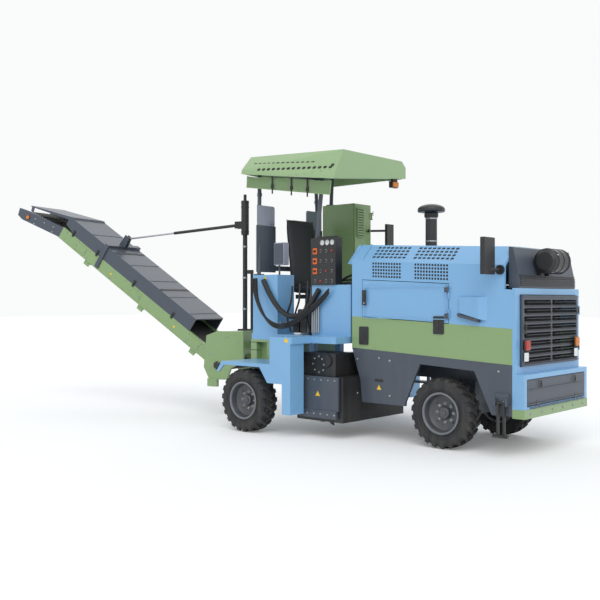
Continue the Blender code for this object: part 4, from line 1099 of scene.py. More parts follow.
    def hood_top(self) -> None:
        """Seams and screws along the top of the bonnet."""
        seam = Piece("hood_seams", "chassis", Paint.SEAL_AND_OPENING_SHADE)
        low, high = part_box("hood")
        mid = (low.y + high.y) / 2
        skin = Skin("hood")
        for x in (-0.957, 0.107):
            pieces = 40
            route = []
            for k in range(pieces + 1):
                y = low.y + 0.004 + (high.y - low.y - 0.008) * k / pieces
                hit, _ = skin.hit(Vector((at(x, 0, 0).x, y, high.z + 0.3)), Vector((0, 0, -1)))
                if hit:
                    route.append(hit)
            for a, b in zip(route, route[1:]):
                if (b - a).length < 0.2:
                    seam.rod(a, b, 0.0016, 6)
        for y in (-0.26, 0.26):
            hit, _ = skin.hit(Vector((at(-0.2, 0, 0).x, mid + y, high.z + 0.3)), Vector((0, 0, -1)))
            if hit:
                seam.turned([(0, 0), (0.016, 0), (0.014, 0.004), (0, 0.005)], hit - Vector((0, 0, 0.0005)),
                            (0, 0, 1), 20)
        seam.done(bevel=0)


@dataclass
class Nose:
    """Grille door, lamps, tool box and the pieces around them at the front.

    Attributes:
        rows: Rows of slots in the grille door.
        pitch: Height from one row to the next.
    """

    rows: int = 8
    pitch: float = 0.0765

    def build(self) -> None:
        """Adds the pieces of the front."""
        self.grille()
        self.lamps()
        self.cap_fins()
        self.tool_box()
        self.cleaner()
        self.mirrors()

    def grille(self) -> None:
        """Fins behind the grille door's slots, its border and its handle."""
        low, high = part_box("grille_door")
        # The fins take iron painted darker, as the shade deep behind the grille's slots.
        fins = Piece("grille_fins", "grille_door", Paint.IRON_RECESS_SHADE)
        mid = (low.y + high.y) / 2
        base = at(0, 0, 0.885).z
        for row in range(self.rows):
            z = base + self.pitch * row
            for a, b in ((-0.560, -0.020), (0.020, 0.560)):
                for k in range(4):
                    zz = z - 0.0165 + 0.011 * k
                    fins.put([(low.x + 0.003, mid + a, zz - 0.003), (high.x - 0.006, mid + a, zz + 0.003),
                              (high.x - 0.006, mid + a, zz + 0.0045), (low.x + 0.003, mid + a, zz - 0.0015),
                              (low.x + 0.003, mid + b, zz - 0.003), (high.x - 0.006, mid + b, zz + 0.003),
                              (high.x - 0.006, mid + b, zz + 0.0045), (low.x + 0.003, mid + b, zz - 0.0015)],
                             BLOCK_FACES)
        fins.done(bevel=0)
        lips = Piece("grille_lips", "grille_door", Paint.SLATE)
        for row in range(self.rows):
            z = base + self.pitch * row
            for a, b in ((-0.560, -0.020), (0.020, 0.560)):
                lips.box((high.x - 0.002, mid + a, z + 0.0235), (high.x + 0.004, mid + b, z + 0.0275))
        for z in (low.z + 0.012, high.z - 0.018):
            lips.box((high.x - 0.001, low.y + 0.02, z), (high.x + 0.003, high.y - 0.02, z + 0.006))
        lips.done(bevel=0.0008)
        knob = Piece("grille_latch", "grille_door", Paint.BLACK)
        side = low.y + 0.03
        knob.box((high.x - 0.001, side - 0.012, low.z + 0.30), (high.x + 0.006, side + 0.012, low.z + 0.42))
        knob.box((high.x + 0.004, side - 0.006, low.z + 0.33), (high.x + 0.014, side + 0.006, low.z + 0.39))
        knob.done()

    def lamps(self) -> None:
        """Square red and amber lamps low on the grille door, with the white squares below them."""
        low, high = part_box("grille_door")
        for y, paint, name in ((-0.555, Paint.RED, "right"), (0.520, Paint.AMBER, "left")):
            spot = Vector((high.x - 0.001, at(0, y, 0).y, at(0, 0, 1.045).z))
            place = facing(spot, Vector((1, 0, 0)))
            shell = Piece(f"front_lamp_{name}", "grille_door", Paint.BLACK, place)
            shell.prism(rounded(0.094, 0.100, 0.008), 0.0, 0.012, "z")
            shell.done()
            lens = Piece(f"front_lens_{name}", "grille_door", paint, place)
            lens.prism(rounded(0.082, 0.088, 0.010), 0.010, 0.026, "z")
            for k in range(5):
                lens.box((-0.036, -0.034 + 0.015 * k, 0.0255), (0.036, -0.028 + 0.015 * k, 0.0275))
            lens.done()
            white = Piece(f"front_square_{name}", "grille_door", Paint.WHITE,
                          place @ Matrix.Translation((0, -0.108, 0)))
            white.prism(rounded(0.080, 0.082, 0.006), 0.0, 0.007, "z")
            white.prism(rounded(0.068, 0.030, 0.004), 0.006, 0.009, "z")
            white.done()

    def cap_fins(self) -> None:
        """Dark cooling fins between the grille door and the air cleaner."""
        low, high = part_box("nose_cap")
        skin = Skin("nose_cap")
        fins = Piece("nose_fins", "chassis", Paint.BLACK)
        for k in range(6):
            z = at(0, 0, 1.60).z + 0.019 * k
            hit, _ = skin.hit(Vector((high.x + 1, (low.y + high.y) / 2, z)), Vector((-1, 0, 0)))
            if hit:
                fins.box((hit.x - 0.004, low.y + 0.012, z - 0.0045),
                         (hit.x + 0.012, high.y - 0.012, z + 0.0045))
        fins.done(bevel=0.0015)

    def tool_box(self) -> None:
        """Latches, ribs and hinge of the tool box lid, and bolts on the bumper strip."""
        low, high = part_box("tool_box_lid")
        zinc = Piece("tool_box_latches", "tool_box_lid", Paint.BLACK)
        for share in (0.2, 0.8):
            y = low.y + (high.y - low.y) * share
            zinc.box((high.x - 0.001, y - 0.014, high.z - 0.080), (high.x + 0.004, y + 0.014, high.z - 0.012))
            zinc.box((high.x + 0.003, y - 0.008, high.z - 0.070), (high.x + 0.009, y + 0.008, high.z - 0.030))
        zinc.done(bevel=0.0012)
        rib = Piece("tool_box_rib", "tool_box_lid", Paint.SLATE)
        inset, line = 0.035, 0.008
        rib.box((high.x - 0.001, low.y + inset, low.z + inset),
                (high.x + 0.0025, high.y - inset, low.z + inset + line))
        rib.box((high.x - 0.001, low.y + inset, high.z - inset - 0.06),
                (high.x + 0.0025, high.y - inset, high.z - inset - 0.06 + line))
        rib.rod((high.x - 0.001, low.y + 0.03, low.z + 0.006),
                (high.x - 0.001, high.y - 0.03, low.z + 0.006), 0.006)
        rib.done(bevel=0.001)
        low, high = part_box("bumper_strip")
        bolts = Piece("bumper_bolts", "chassis", Paint.ZINC)
        for k in range(6):
            y = low.y + (high.y - low.y) * (k + 0.5) / 6
            hit, normal = Skin("bumper_strip").hit(
                Vector((high.x + 1, y, at(0, 0, 0.418).z)), Vector((-1, 0, 0)))
            if hit:
                bolts.bolt(hit, normal, 0.010)
        bolts.done(bevel=0)

    def cleaner(self) -> None:
        """Clips, bands and end cap ribs of the air cleaner drum."""
        low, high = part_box("air_cleaner")
        mid = (low + high) / 2
        r = min(high.z - mid.z, 0.118)
        axis_x, axis_z = at(0.905, 0, 0).x, at(0, 0, 1.835).z
        ribs = Piece("cleaner_ribs", "chassis", Paint.BLACK)
        for share in (0.14, 0.20, 0.50, 0.80, 0.86):
            y = low.y + (high.y - low.y) * share
            ribs.turned([(r - 0.004, -0.005), (r + 0.0035, -0.004), (r + 0.0035, 0.004), (r - 0.004, 0.005)],
                        (axis_x, y, axis_z), (0, 1, 0), 56)
        ribs.done(bevel=0)
        clips = Piece("cleaner_clips", "chassis", Paint.ZINC)
        y = low.y + (high.y - low.y) * 0.17
        for k in range(4):
            a = math.tau * (k + 0.3) / 4
            spot = Vector((axis_x + (r + 0.003) * math.cos(a), y, axis_z + (r + 0.003) * math.sin(a)))
            clips.box(spot - Vector((0.002, 0.022, 0.006)), spot + Vector((0.002, 0.022, 0.006)),
                      Matrix.Rotation(-a, 3, "Y"))
        clips.done(bevel=0.0008)

    def mirrors(self) -> None:
        """Glass of the two front mirrors."""
        for name in ("front_mirror_right", "front_mirror_left"):
            low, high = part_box(name)
            glass = Piece(f"{name}_glass", "chassis", Paint.MIRROR)
            outline = rounded(high.y - low.y - 0.028, 0.150, 0.012)
            mid = (low + high) / 2
            skin = Skin(name)
            hit, normal = skin.hit(Vector((low.x - 0.5, mid.y, high.z - 0.09)), Vector((1, 0, 0)))
            if hit is None:
                continue
            glass.matrix = facing(hit, normal)
            glass.prism(outline, -0.0006, 0.0012, "z")
            glass.done(bevel=0)


@dataclass
class OperatorStation:
    """Seat, panel, wheel, cabinet, guards, hoses and steps around the driver.

    Attributes:
        roll: Width of a sewn channel in the seat cover.
        hose: Radius of the bundled hoses.
    """

    roll: float = 0.075
    hose: float = 0.009

    def build(self) -> None:
        """Adds everything at the station."""
        self.cushions()
        self.panel()
        self.wheel()
        self.cabinet()
        self.wind_sheets()
        self.hoses()
        self.deck_trim()
        self.rear_box()

    def cushions(self) -> None:
        """Crowned seat and back cushions with sewn channels, in place of the plain seat."""
        low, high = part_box("seat")
        mid_y = (low.y + high.y) / 2
        wide = high.y - low.y
        floor_x, front_x = at(-2.395, 0, 0).x, high.x
        seat = self.cushion("seat_cushion", Vector(((floor_x + front_x) / 2, mid_y, low.z + 0.062)),
                            (front_x - floor_x, wide * 0.97, 0.115), 0.0)
        top = high.z
        base = Vector((at(-2.352, 0, 0).x, mid_y, at(0, 0, 1.61).z))
        head = Vector((at(-2.447, 0, 0).x, mid_y, top))
        length = (head - base).length
        lean = math.atan2(base.x - head.x, head.z - base.z)
        back = self.cushion("back_cushion", (base + head) / 2, (length, wide * 0.97, 0.098),
                            math.pi / 2 + lean)
        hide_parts("seat")
        welt = Piece("seat_welts", "chassis", Paint.SEAL_AND_OPENING_SHADE)
        for cushion, spin in (((seat, (front_x - floor_x, wide * 0.97, 0.115)), 0.0),
                              ((back, (length, wide * 0.97, 0.098)), math.pi / 2 + lean)):
            obj, size = cushion
            centre = sum((Vector(c) for c in obj.bound_box), Vector()) / 8
            turn = Matrix.Rotation(-spin, 4, "Y")
            ring = [centre + turn @ Vector((u, v, 0)) for u,
                    v in rounded(size[0] * 0.985, size[1] * 0.985, 0.05, 3)]
            welt.tube(ring, 0.0035, 6, True)
        welt.done(bevel=0)
        shell = Piece("seat_shell", "chassis", Paint.BLACK)
        turn = Matrix.Rotation(-(math.pi / 2 + lean), 3, "Y")
        mid = (base + head) / 2
        shell.box(mid + Vector((-length * 0.46, -wide * 0.43, -0.058)),
                  mid + Vector((length * 0.46, wide * 0.43, -0.044)), turn)
        shell.done(bevel=0.005)

    def cushion(self, name: str, centre: Vector, size: Point, spin: float) -> bpy.types.Object:
        """Builds one cushion: rolls across its face, pulled in at the seams, crowned between corners.

        Args:
            name: The object's name.
            centre: Its middle.
            size: Length, width and thickness.
            spin: Turn of its length about Y, from lying flat.

        Returns:
            The cushion.
        """
        length, width, thick = size
        nx, ny = 64, 36
        turn = Matrix.Rotation(-spin, 3, "Y")
        mesh = bpy.data.meshes.new(name)
        bm = bmesh.new()
        rows: dict[tuple[int, int, int], bmesh.types.BMVert] = {}
        for side in (1, -1):
            for i in range(nx + 1):
                for j in range(ny + 1):
                    u, v = 2 * i / nx - 1, 2 * j / ny - 1
                    rim = max(abs(u), abs(v))
                    if side < 0 and rim >= 0.9999:
                        rows[side, i, j] = rows[1, i, j]
                        continue
                    dome = ((1 - abs(u) ** 7) * (1 - abs(v) ** 7)) ** 0.42
                    channel = abs(math.cos(math.pi * (u + 1) * length / 2 / self.roll))
                    inside = min(1.0, max(0.0, (1 - abs(v)) / 0.30))
                    roll = 1 - 0.20 * inside * (1 - channel ** 0.5) * (1 if side > 0 else 0)
                    wing = 1 + 0.10 * abs(v) ** 2 if side > 0 else 0.85
                    pull = 1 - 0.02 * (1 - u * u)
                    spot = Vector((u * length / 2, v * width / 2 * pull,
                                   side * thick / 2 * dome * roll * wing * 0.92))
                    corner = 0.35 * max(0.0, abs(u) + abs(v) - 1.55)
                    spot.x -= math.copysign(corner * 0.10 * length, u) if corner else 0
                    spot.y -= math.copysign(corner * 0.10 * width, v) if corner else 0
                    rows[side, i, j] = bm.verts.new(centre + turn @ spot)
        for side in (1, -1):
            for i in range(nx):
                for j in range(ny):
                    quad = [rows[side, i, j], rows[side, i + 1, j], rows[side, i + 1, j + 1],
                            rows[side, i, j + 1]]
                    bm.faces.new(quad if side > 0 else quad[::-1])
        bmesh.ops.recalc_face_normals(bm, faces=bm.faces)
        bm.to_mesh(mesh)
        bm.free()
        mesh.materials.append(Paint.VINYL.value.made())
        mesh.shade_smooth()
        made = bpy.data.objects.new(name, mesh)
        bpy.context.scene.collection.objects.link(made)
        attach(made, "chassis")
        LOG.info("%s: %d faces", name, len(mesh.polygons))
        return made

    def panel(self) -> None:
        """Gauges, switches, knobs and lamps on the panel's outer face, and levers behind it."""
        low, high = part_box("instrument_panel")
        skin = Skin("instrument_panel")
        mid_y = (low.y + high.y) / 2
        bezel = Piece("gauge_bezels", "chassis", Paint.ZINC)
        glass = Piece("gauge_faces", "chassis", Paint.DIAL)
        hand = Piece("gauge_hands", "chassis", Paint.BLACK)
        for k in range(3):
            x = low.x + (high.x - low.x) * (0.48 + 0.20 * k)
            hit, normal = skin.hit(Vector((x, low.y - 1, high.z - 0.075)), Vector((0, 1, 0)))
            if hit is None:
                continue
            r = 0.031
            bezel.turned([(r - 0.005, -0.001), (r + 0.001, -0.001), (r, 0.008), (r - 0.004, 0.009),
                          (r - 0.005, 0.005)],
                         hit, normal, 36)
            glass.turned([(0, -0.0005), (r - 0.005, -0.0005), (r - 0.005, 0.004), (0, 0.0045)], hit, normal,
                         36)
            hand.matrix = facing(hit, normal) @ Matrix.Rotation(0.7 - 0.9 * k, 4, "Z")
            hand.box((-0.0011, -0.005, 0.0044), (0.0011, 0.018, 0.0062)).rod((0, 0, 0.004), (0, 0, 0.0075),
                                                                             0.004)
            for tick in range(9):
                a = math.radians(-130 + 260 * tick / 8)
                turn = Matrix.Rotation(-a, 3, "Z")
                spot = Vector((0.0205 * math.sin(a), 0.0205 * math.cos(a), 0.0049))
                hand.box(spot - Vector((0.0007, 0.003, 0.0006)), spot + Vector((0.0007, 0.003, 0.0006)), turn)
        for piece in (bezel, glass, hand):
            piece.done(bevel=0)
        plates = Piece("switch_plates", "chassis", Paint.ORANGE)
        knobs = Piece("panel_knobs", "chassis", Paint.BLACK)
        rings = Piece("knob_rings", "chassis", Paint.ZINC)
        lights = Piece("panel_lights", "chassis", Paint.RED)
        for row in range(4):
            for col in range(4):
                x, z = low.x + 0.062 + 0.080 * col, high.z - 0.165 - 0.110 * row
                hit, normal = skin.hit(Vector((x, low.y - 1, z)), Vector((0, 1, 0)))
                if hit is None:
                    continue
                if col == 0 and row < 3:
                    plates.matrix = facing(hit, normal)
                    plates.prism(rounded(0.062, 0.066, 0.006), -0.0005, 0.004, "z")
                    knobs.turned([(0, 0.003), (0.015, 0.003), (0.013, 0.020), (0, 0.021)], hit, normal, 20)
                elif (row, col) in ((0, 3), (2, 2), (3, 1)):
                    lights.turned([(0, -0.001), (0.012, -0.001), (0.010, 0.008), (0, 0.010)], hit, normal, 20)
                else:
                    rings.turned([(0, -0.001), (0.017, -0.001), (0.017, 0.003), (0, 0.003)], hit, normal, 24)
                    knobs.turned([(0, 0.002), (0.012, 0.002), (0.011, 0.014), (0, 0.015)], hit, normal, 20)
        for piece in (plates, knobs, rings, lights):
            piece.done(bevel=0)
        lever = Piece("panel_levers", "chassis", Paint.ZINC)
        balls = Piece("lever_balls", "chassis", Paint.BLACK)
        for k in range(3):
            foot = Vector((low.x + 0.09 + 0.07 * k, high.y - 0.003, low.z + 0.045))
            tip = foot + Vector((0.0, 0.060, 0.045))
            lever.rod(foot, tip, 0.0045)
            balls.turned([(0, -0.011), (0.008, -0.008), (0.0115, 0), (0.008, 0.008), (0, 0.011)], tip,
                         tip - foot, 16)
        lever.done(bevel=0)
        balls.done(bevel=0)

    def wheel(self) -> None:
        """Hub cap and finger grips of the steering wheel, riding with it."""
        data = joint("steering_column_spin")
        centre, axis = Vector(data["pos_m"]), Vector(data["axis"])
        hub = Piece("wheel_hub_cap", "steering_wheel", Paint.BLACK)
        low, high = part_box("steering_wheel")
        skin = Skin("steering_wheel")
        hit, _ = skin.hit(centre + axis * 0.3, -axis)
        foot = hit if hit else centre
        hub.turned([(0, -0.002), (0.034, -0.002), (0.032, 0.006), (0.022, 0.010), (0, 0.011)], foot, axis, 28)
        hub.done(bevel=0)
        grips = Piece("wheel_grips", "steering_wheel", Paint.SEAL_AND_OPENING_SHADE)
        turn = axis.to_track_quat("Z", "Y").to_matrix()
        for k in range(24):
            a = math.tau * k / 24
            way = turn @ Vector((math.cos(a), math.sin(a), 0))
            along = turn @ Vector((-math.sin(a), math.cos(a), 0))
            grips.turned([(0.0145, -0.004), (0.0165, -0.0025), (0.0165, 0.0025), (0.0145, 0.004)],
                         centre + way * 0.1505, along, 12)
        grips.done(bevel=0)

    def cabinet(self) -> None:
        """Vent, knob and hinges of the cabinet door, and the ribs of its side."""
        low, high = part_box("cabinet_door")
        # Dark strips painted between the louvres stand for the shade inside the vent.
        vent = Piece("cabinet_vent", "cabinet_door", Paint.SEAL_AND_OPENING_SHADE)
        trim = Piece("cabinet_vent_frame", "cabinet_door", Paint.SAGE)
        y0, y1, z0, z1 = low.y + 0.03, low.y + 0.14, at(0, 0, 2.25).z, at(0, 0, 2.60).z
        x = high.x
        for k in range(11):
            z = z0 + (z1 - z0) * (k + 0.5) / 11
            vent.box((x - 0.001, y0 + 0.008, z - 0.007), (x + 0.0012, y1 - 0.008, z + 0.005))
            trim.prism([(x, z + 0.004), (x + 0.007, z + 0.001), (x + 0.007, z + 0.003), (x, z + 0.010)],
                       y0 + 0.006, y1 - 0.006)
        for a, b in (((y0, z0 - 0.006), (y1, z0)), ((y0, z1), (y1, z1 + 0.006)),
                     ((y0 - 0.003, z0 - 0.006), (y0 + 0.004, z1 + 0.006)),
                     ((y1 - 0.004, z0 - 0.006), (y1 + 0.003, z1 + 0.006))):
            trim.box((x - 0.001, a[0], a[1]), (x + 0.004, b[0], b[1]))
        vent.done(bevel=0)
        trim.done(bevel=0.0006)
        knob = Piece("cabinet_lock", "cabinet_door", Paint.BLACK)
        spot = Vector((x, at(0, 0.69, 0).y, at(0, 0, 2.33).z))
        knob.turned([(0, -0.001), (0.017, -0.001), (0.017, 0.004), (0.010, 0.006), (0.010, 0.020),
                     (0, 0.021)], spot, (1, 0, 0), 24)
        knob.box(spot + Vector((0.012, -0.005, -0.022)), spot + Vector((0.022, 0.005, 0.022)))
        knob.done(bevel=0.001)
        pins = Piece("cabinet_hinges", "cabinet_door", Paint.ZINC)
        for z in (low.z + 0.10, high.z - 0.10):
            pins.rod((x + 0.003, high.y - 0.006, z - 0.028), (x + 0.003, high.y - 0.006, z + 0.028), 0.005)
        pins.done(bevel=0)
        low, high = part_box("control_cabinet")
        rib = Piece("cabinet_ribs", "chassis", Paint.SAGE)
        for face, out in ((low.y, -1), (high.y, 1)):
            for z in (1.30, 1.62, 1.94, 2.30):
                y0, y1 = sorted((face - out * 0.001, face + out * 0.003))
                rib.box((low.x + 0.05, y0, z), (high.x - 0.05, y1, z + 0.010))
        rib.done(bevel=0.001)

    def wind_sheets(self) -> None:
        """Clear sheets of the wind guard behind the driver with their clamps."""
        sheet = Piece("wind_sheets", "chassis", Paint.SHEET)
        edge = Piece("wind_sheet_clamps", "chassis", Paint.ZINC)
        x = at(-2.603, 0, 0).x
        for y0, y1 in ((-0.60, -0.28), (0.28, 0.60)):
            a, b = at(0, y0, 0).y, at(0, y1, 0).y
            sheet.matrix = Matrix.Translation((x, (a + b) / 2, 2.475)) @ Matrix.Rotation(math.pi / 2, 4, "Y")
            sheet.prism(rounded(0.250, b - a - 0.02, 0.03), -0.003, 0.003, "z")
            for y in (a + 0.05, b - 0.05):
                edge.box((x - 0.009, y - 0.014, 2.345), (x + 0.009, y + 0.014, 2.385))
                edge.bolt((x + 0.009, y, 2.372), (1, 0, 0), 0.006)
        sheet.done(bevel=0.001)
        edge.done(bevel=0.0008)

    def hoses(self) -> None:
        """Hoses, pipes, valves and a junction box at the right of the station."""
        rubber = Piece("station_hoses", "chassis", Paint.HOSE)
        for k in range(6):
            drop, out = 0.022 * (k % 3), 0.018 * (k // 3)
            rubber.tube([at(-2.530 + drop, -0.735 + out, 1.72), at(-2.50 + drop, -0.740 + out, 1.52 - drop),
                         at(-2.36 + drop, -0.742 + out, 1.29 - drop), at(-2.14, -0.742 + out, 1.19 - drop),
                         at(-1.90, -0.740 + out, 1.23 - drop), at(-1.66, -0.725 + out, 1.37 - drop),
                         at(-1.50, -0.705 + out, 1.50 - drop), at(-1.40, -0.700, 1.585 - drop)], self.hose, 8)
        for k in range(7):
            y, x = -0.60 + 0.05 * (k % 4), -2.05 + 0.075 * k
            rubber.tube([at(x, y, 1.10), at(x - 0.03, y - 0.03, 1.28), at(x + 0.05, y - 0.05, 1.46),
                         at(x + 0.02, y, 1.62 + 0.03 * (k % 3))], 0.011, 8)
        rubber.done(bevel=0)
        pipes = Piece("station_pipes", "chassis", Paint.ZINC)
        for k in range(4):
            x = -1.662 + 0.030 * k
            pipes.rod(at(x, -0.672, 1.10), at(x, -0.672, 1.40 + 0.012 * k), 0.0095)
            pipes.turned([(0, 0), (0.015, 0), (0.015, 0.026), (0, 0.026)], at(x, -0.672, 1.385 + 0.012 * k),
                         (0, 0, 1), 6)
        pipes.done(bevel=0)
        valves = Piece("valve_block", "chassis", Paint.BLACK)
        for k in range(4):
            x = -2.06 + 0.115 * k
            valves.box(at(x, -0.56, 1.09), at(x + 0.095, -0.40, 1.26 + 0.05 * (k % 2)))
            valves.turned([(0, 0), (0.030, 0), (0.030, 0.09), (0.022, 0.11), (0, 0.11)],
                          at(x + 0.047, -0.48, 1.25 + 0.05 * (k % 2)), (0, 0, 1), 20)
        valves.done(bevel=0.004)
        clip = Piece("hose_clips", "chassis", Paint.ZINC)
        for x, z in ((-2.14, 1.187), (-1.66, 1.347)):
            clip.tube([at(x, -0.69, z), at(x, -0.66, z + 0.035), at(x, -0.62, z + 0.01),
                       at(x, -0.62, z - 0.03),
                       at(x, -0.66, z - 0.035)], 0.0035, 6, True)
        clip.done(bevel=0)
        box = Piece("junction_box", "chassis", Paint.LILAC)
        a, b = at(-2.29, -0.635, 1.87), at(-2.13, -0.545, 2.13)
        box.box(a, b)
        box.done(bevel=0.006)
        lid = Piece("junction_box_lid", "chassis", Paint.SLATE)
        lid.box((a.x + 0.012, a.y - 0.005, a.z + 0.012), (b.x - 0.012, a.y + 0.001, b.z - 0.012))
        for x in (a.x + 0.024, b.x - 0.024):
            for z in (a.z + 0.024, b.z - 0.024):
                lid.bolt((x, a.y - 0.005, z), (0, -1, 0), 0.0045)
        lid.rod((a.x + 0.05, (a.y + b.y) / 2, a.z - 0.60), (a.x + 0.05, (a.y + b.y) / 2, a.z + 0.002), 0.011)
        lid.done(bevel=0.0012)

    def deck_trim(self) -> None:
        """Raised chequer on the fenders and yellow marks at the station's right side."""
        skin = Skin("operator_deck", "folding_step")
        plate = Piece("deck_chequers", "chassis", Paint.SKY)
        for side in (-1, 1):
            for i in range(5):
                for j in range(11):
                    x = -1.77 + 0.055 * i + (0.0275 if j % 2 else 0)
                    y = side * (0.72 + 0.043 * j)
                    hit, normal = skin.hit(at(x, y, 1.6), Vector((0, 0, -1)))
                    if hit is None or normal.z < 0.95 or hit.z < 0.95:
                        continue
                    turn = Matrix.Rotation(math.radians(45 if (i + j) % 2 else -45), 3, "Z")
                    plate.box(hit + Vector((-0.014, -0.003, -0.001)), hit + Vector((0.014, 0.003, 0.0022)),
                              turn)
        plate.done(bevel=0)
        mark = Piece("yellow_marks", "chassis", Paint.SIGNAL)
        both = Skin("operator_deck", "folding_step", "side_plate_right", "access_steps", "rear_box",
                    "canopy_frame")
        for x, z, width, height in ((-1.558, 1.035, 0.050, 0.040), (-2.416, 1.712, 0.035, 0.05)):
            spot, normal = both.hit(at(x, -3.0, z), Vector((0, 1, 0)))
            if spot is None:
                continue
            mark.matrix = facing(spot, normal)
            mark.prism(rounded(width, height, 0.004), -0.0004, 0.0009, "z")
        mark.done(bevel=0)

    def rear_box(self) -> None:
        """Grip, lid line and bolts of the box behind the rear axle."""
        low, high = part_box("rear_box")
        trim = Piece("rear_box_trim", "chassis", Paint.BLACK)
        for side in (-1, 1):
            face = high.y if side > 0 else low.y
            for dz in (0.035, 0.125):
                spot = Vector(((low.x + high.x) / 2, face, high.z - dz))
                trim.rod(spot - Vector((0.09, -side * 0.001, 0)), spot + Vector((0.09, side * 0.001, 0)),
                         0.003, 8)
        trim.done(bevel=0)
        bolts = Piece("rear_box_bolts", "chassis", Paint.ZINC)
        skin = Skin("rear_box")
        for side in (-1, 1):
            for x in (low.x + 0.03, high.x - 0.03):
                for z in (low.z + 0.03, high.z - 0.03):
                    spot, normal = skin.hit(Vector((x, low.y - 1 if side < 0 else high.y + 1, z)),
                                                             Vector((0, -side, 0)))
                    if spot:
                        bolts.bolt(spot, normal, 0.008)
        bolts.done(bevel=0)


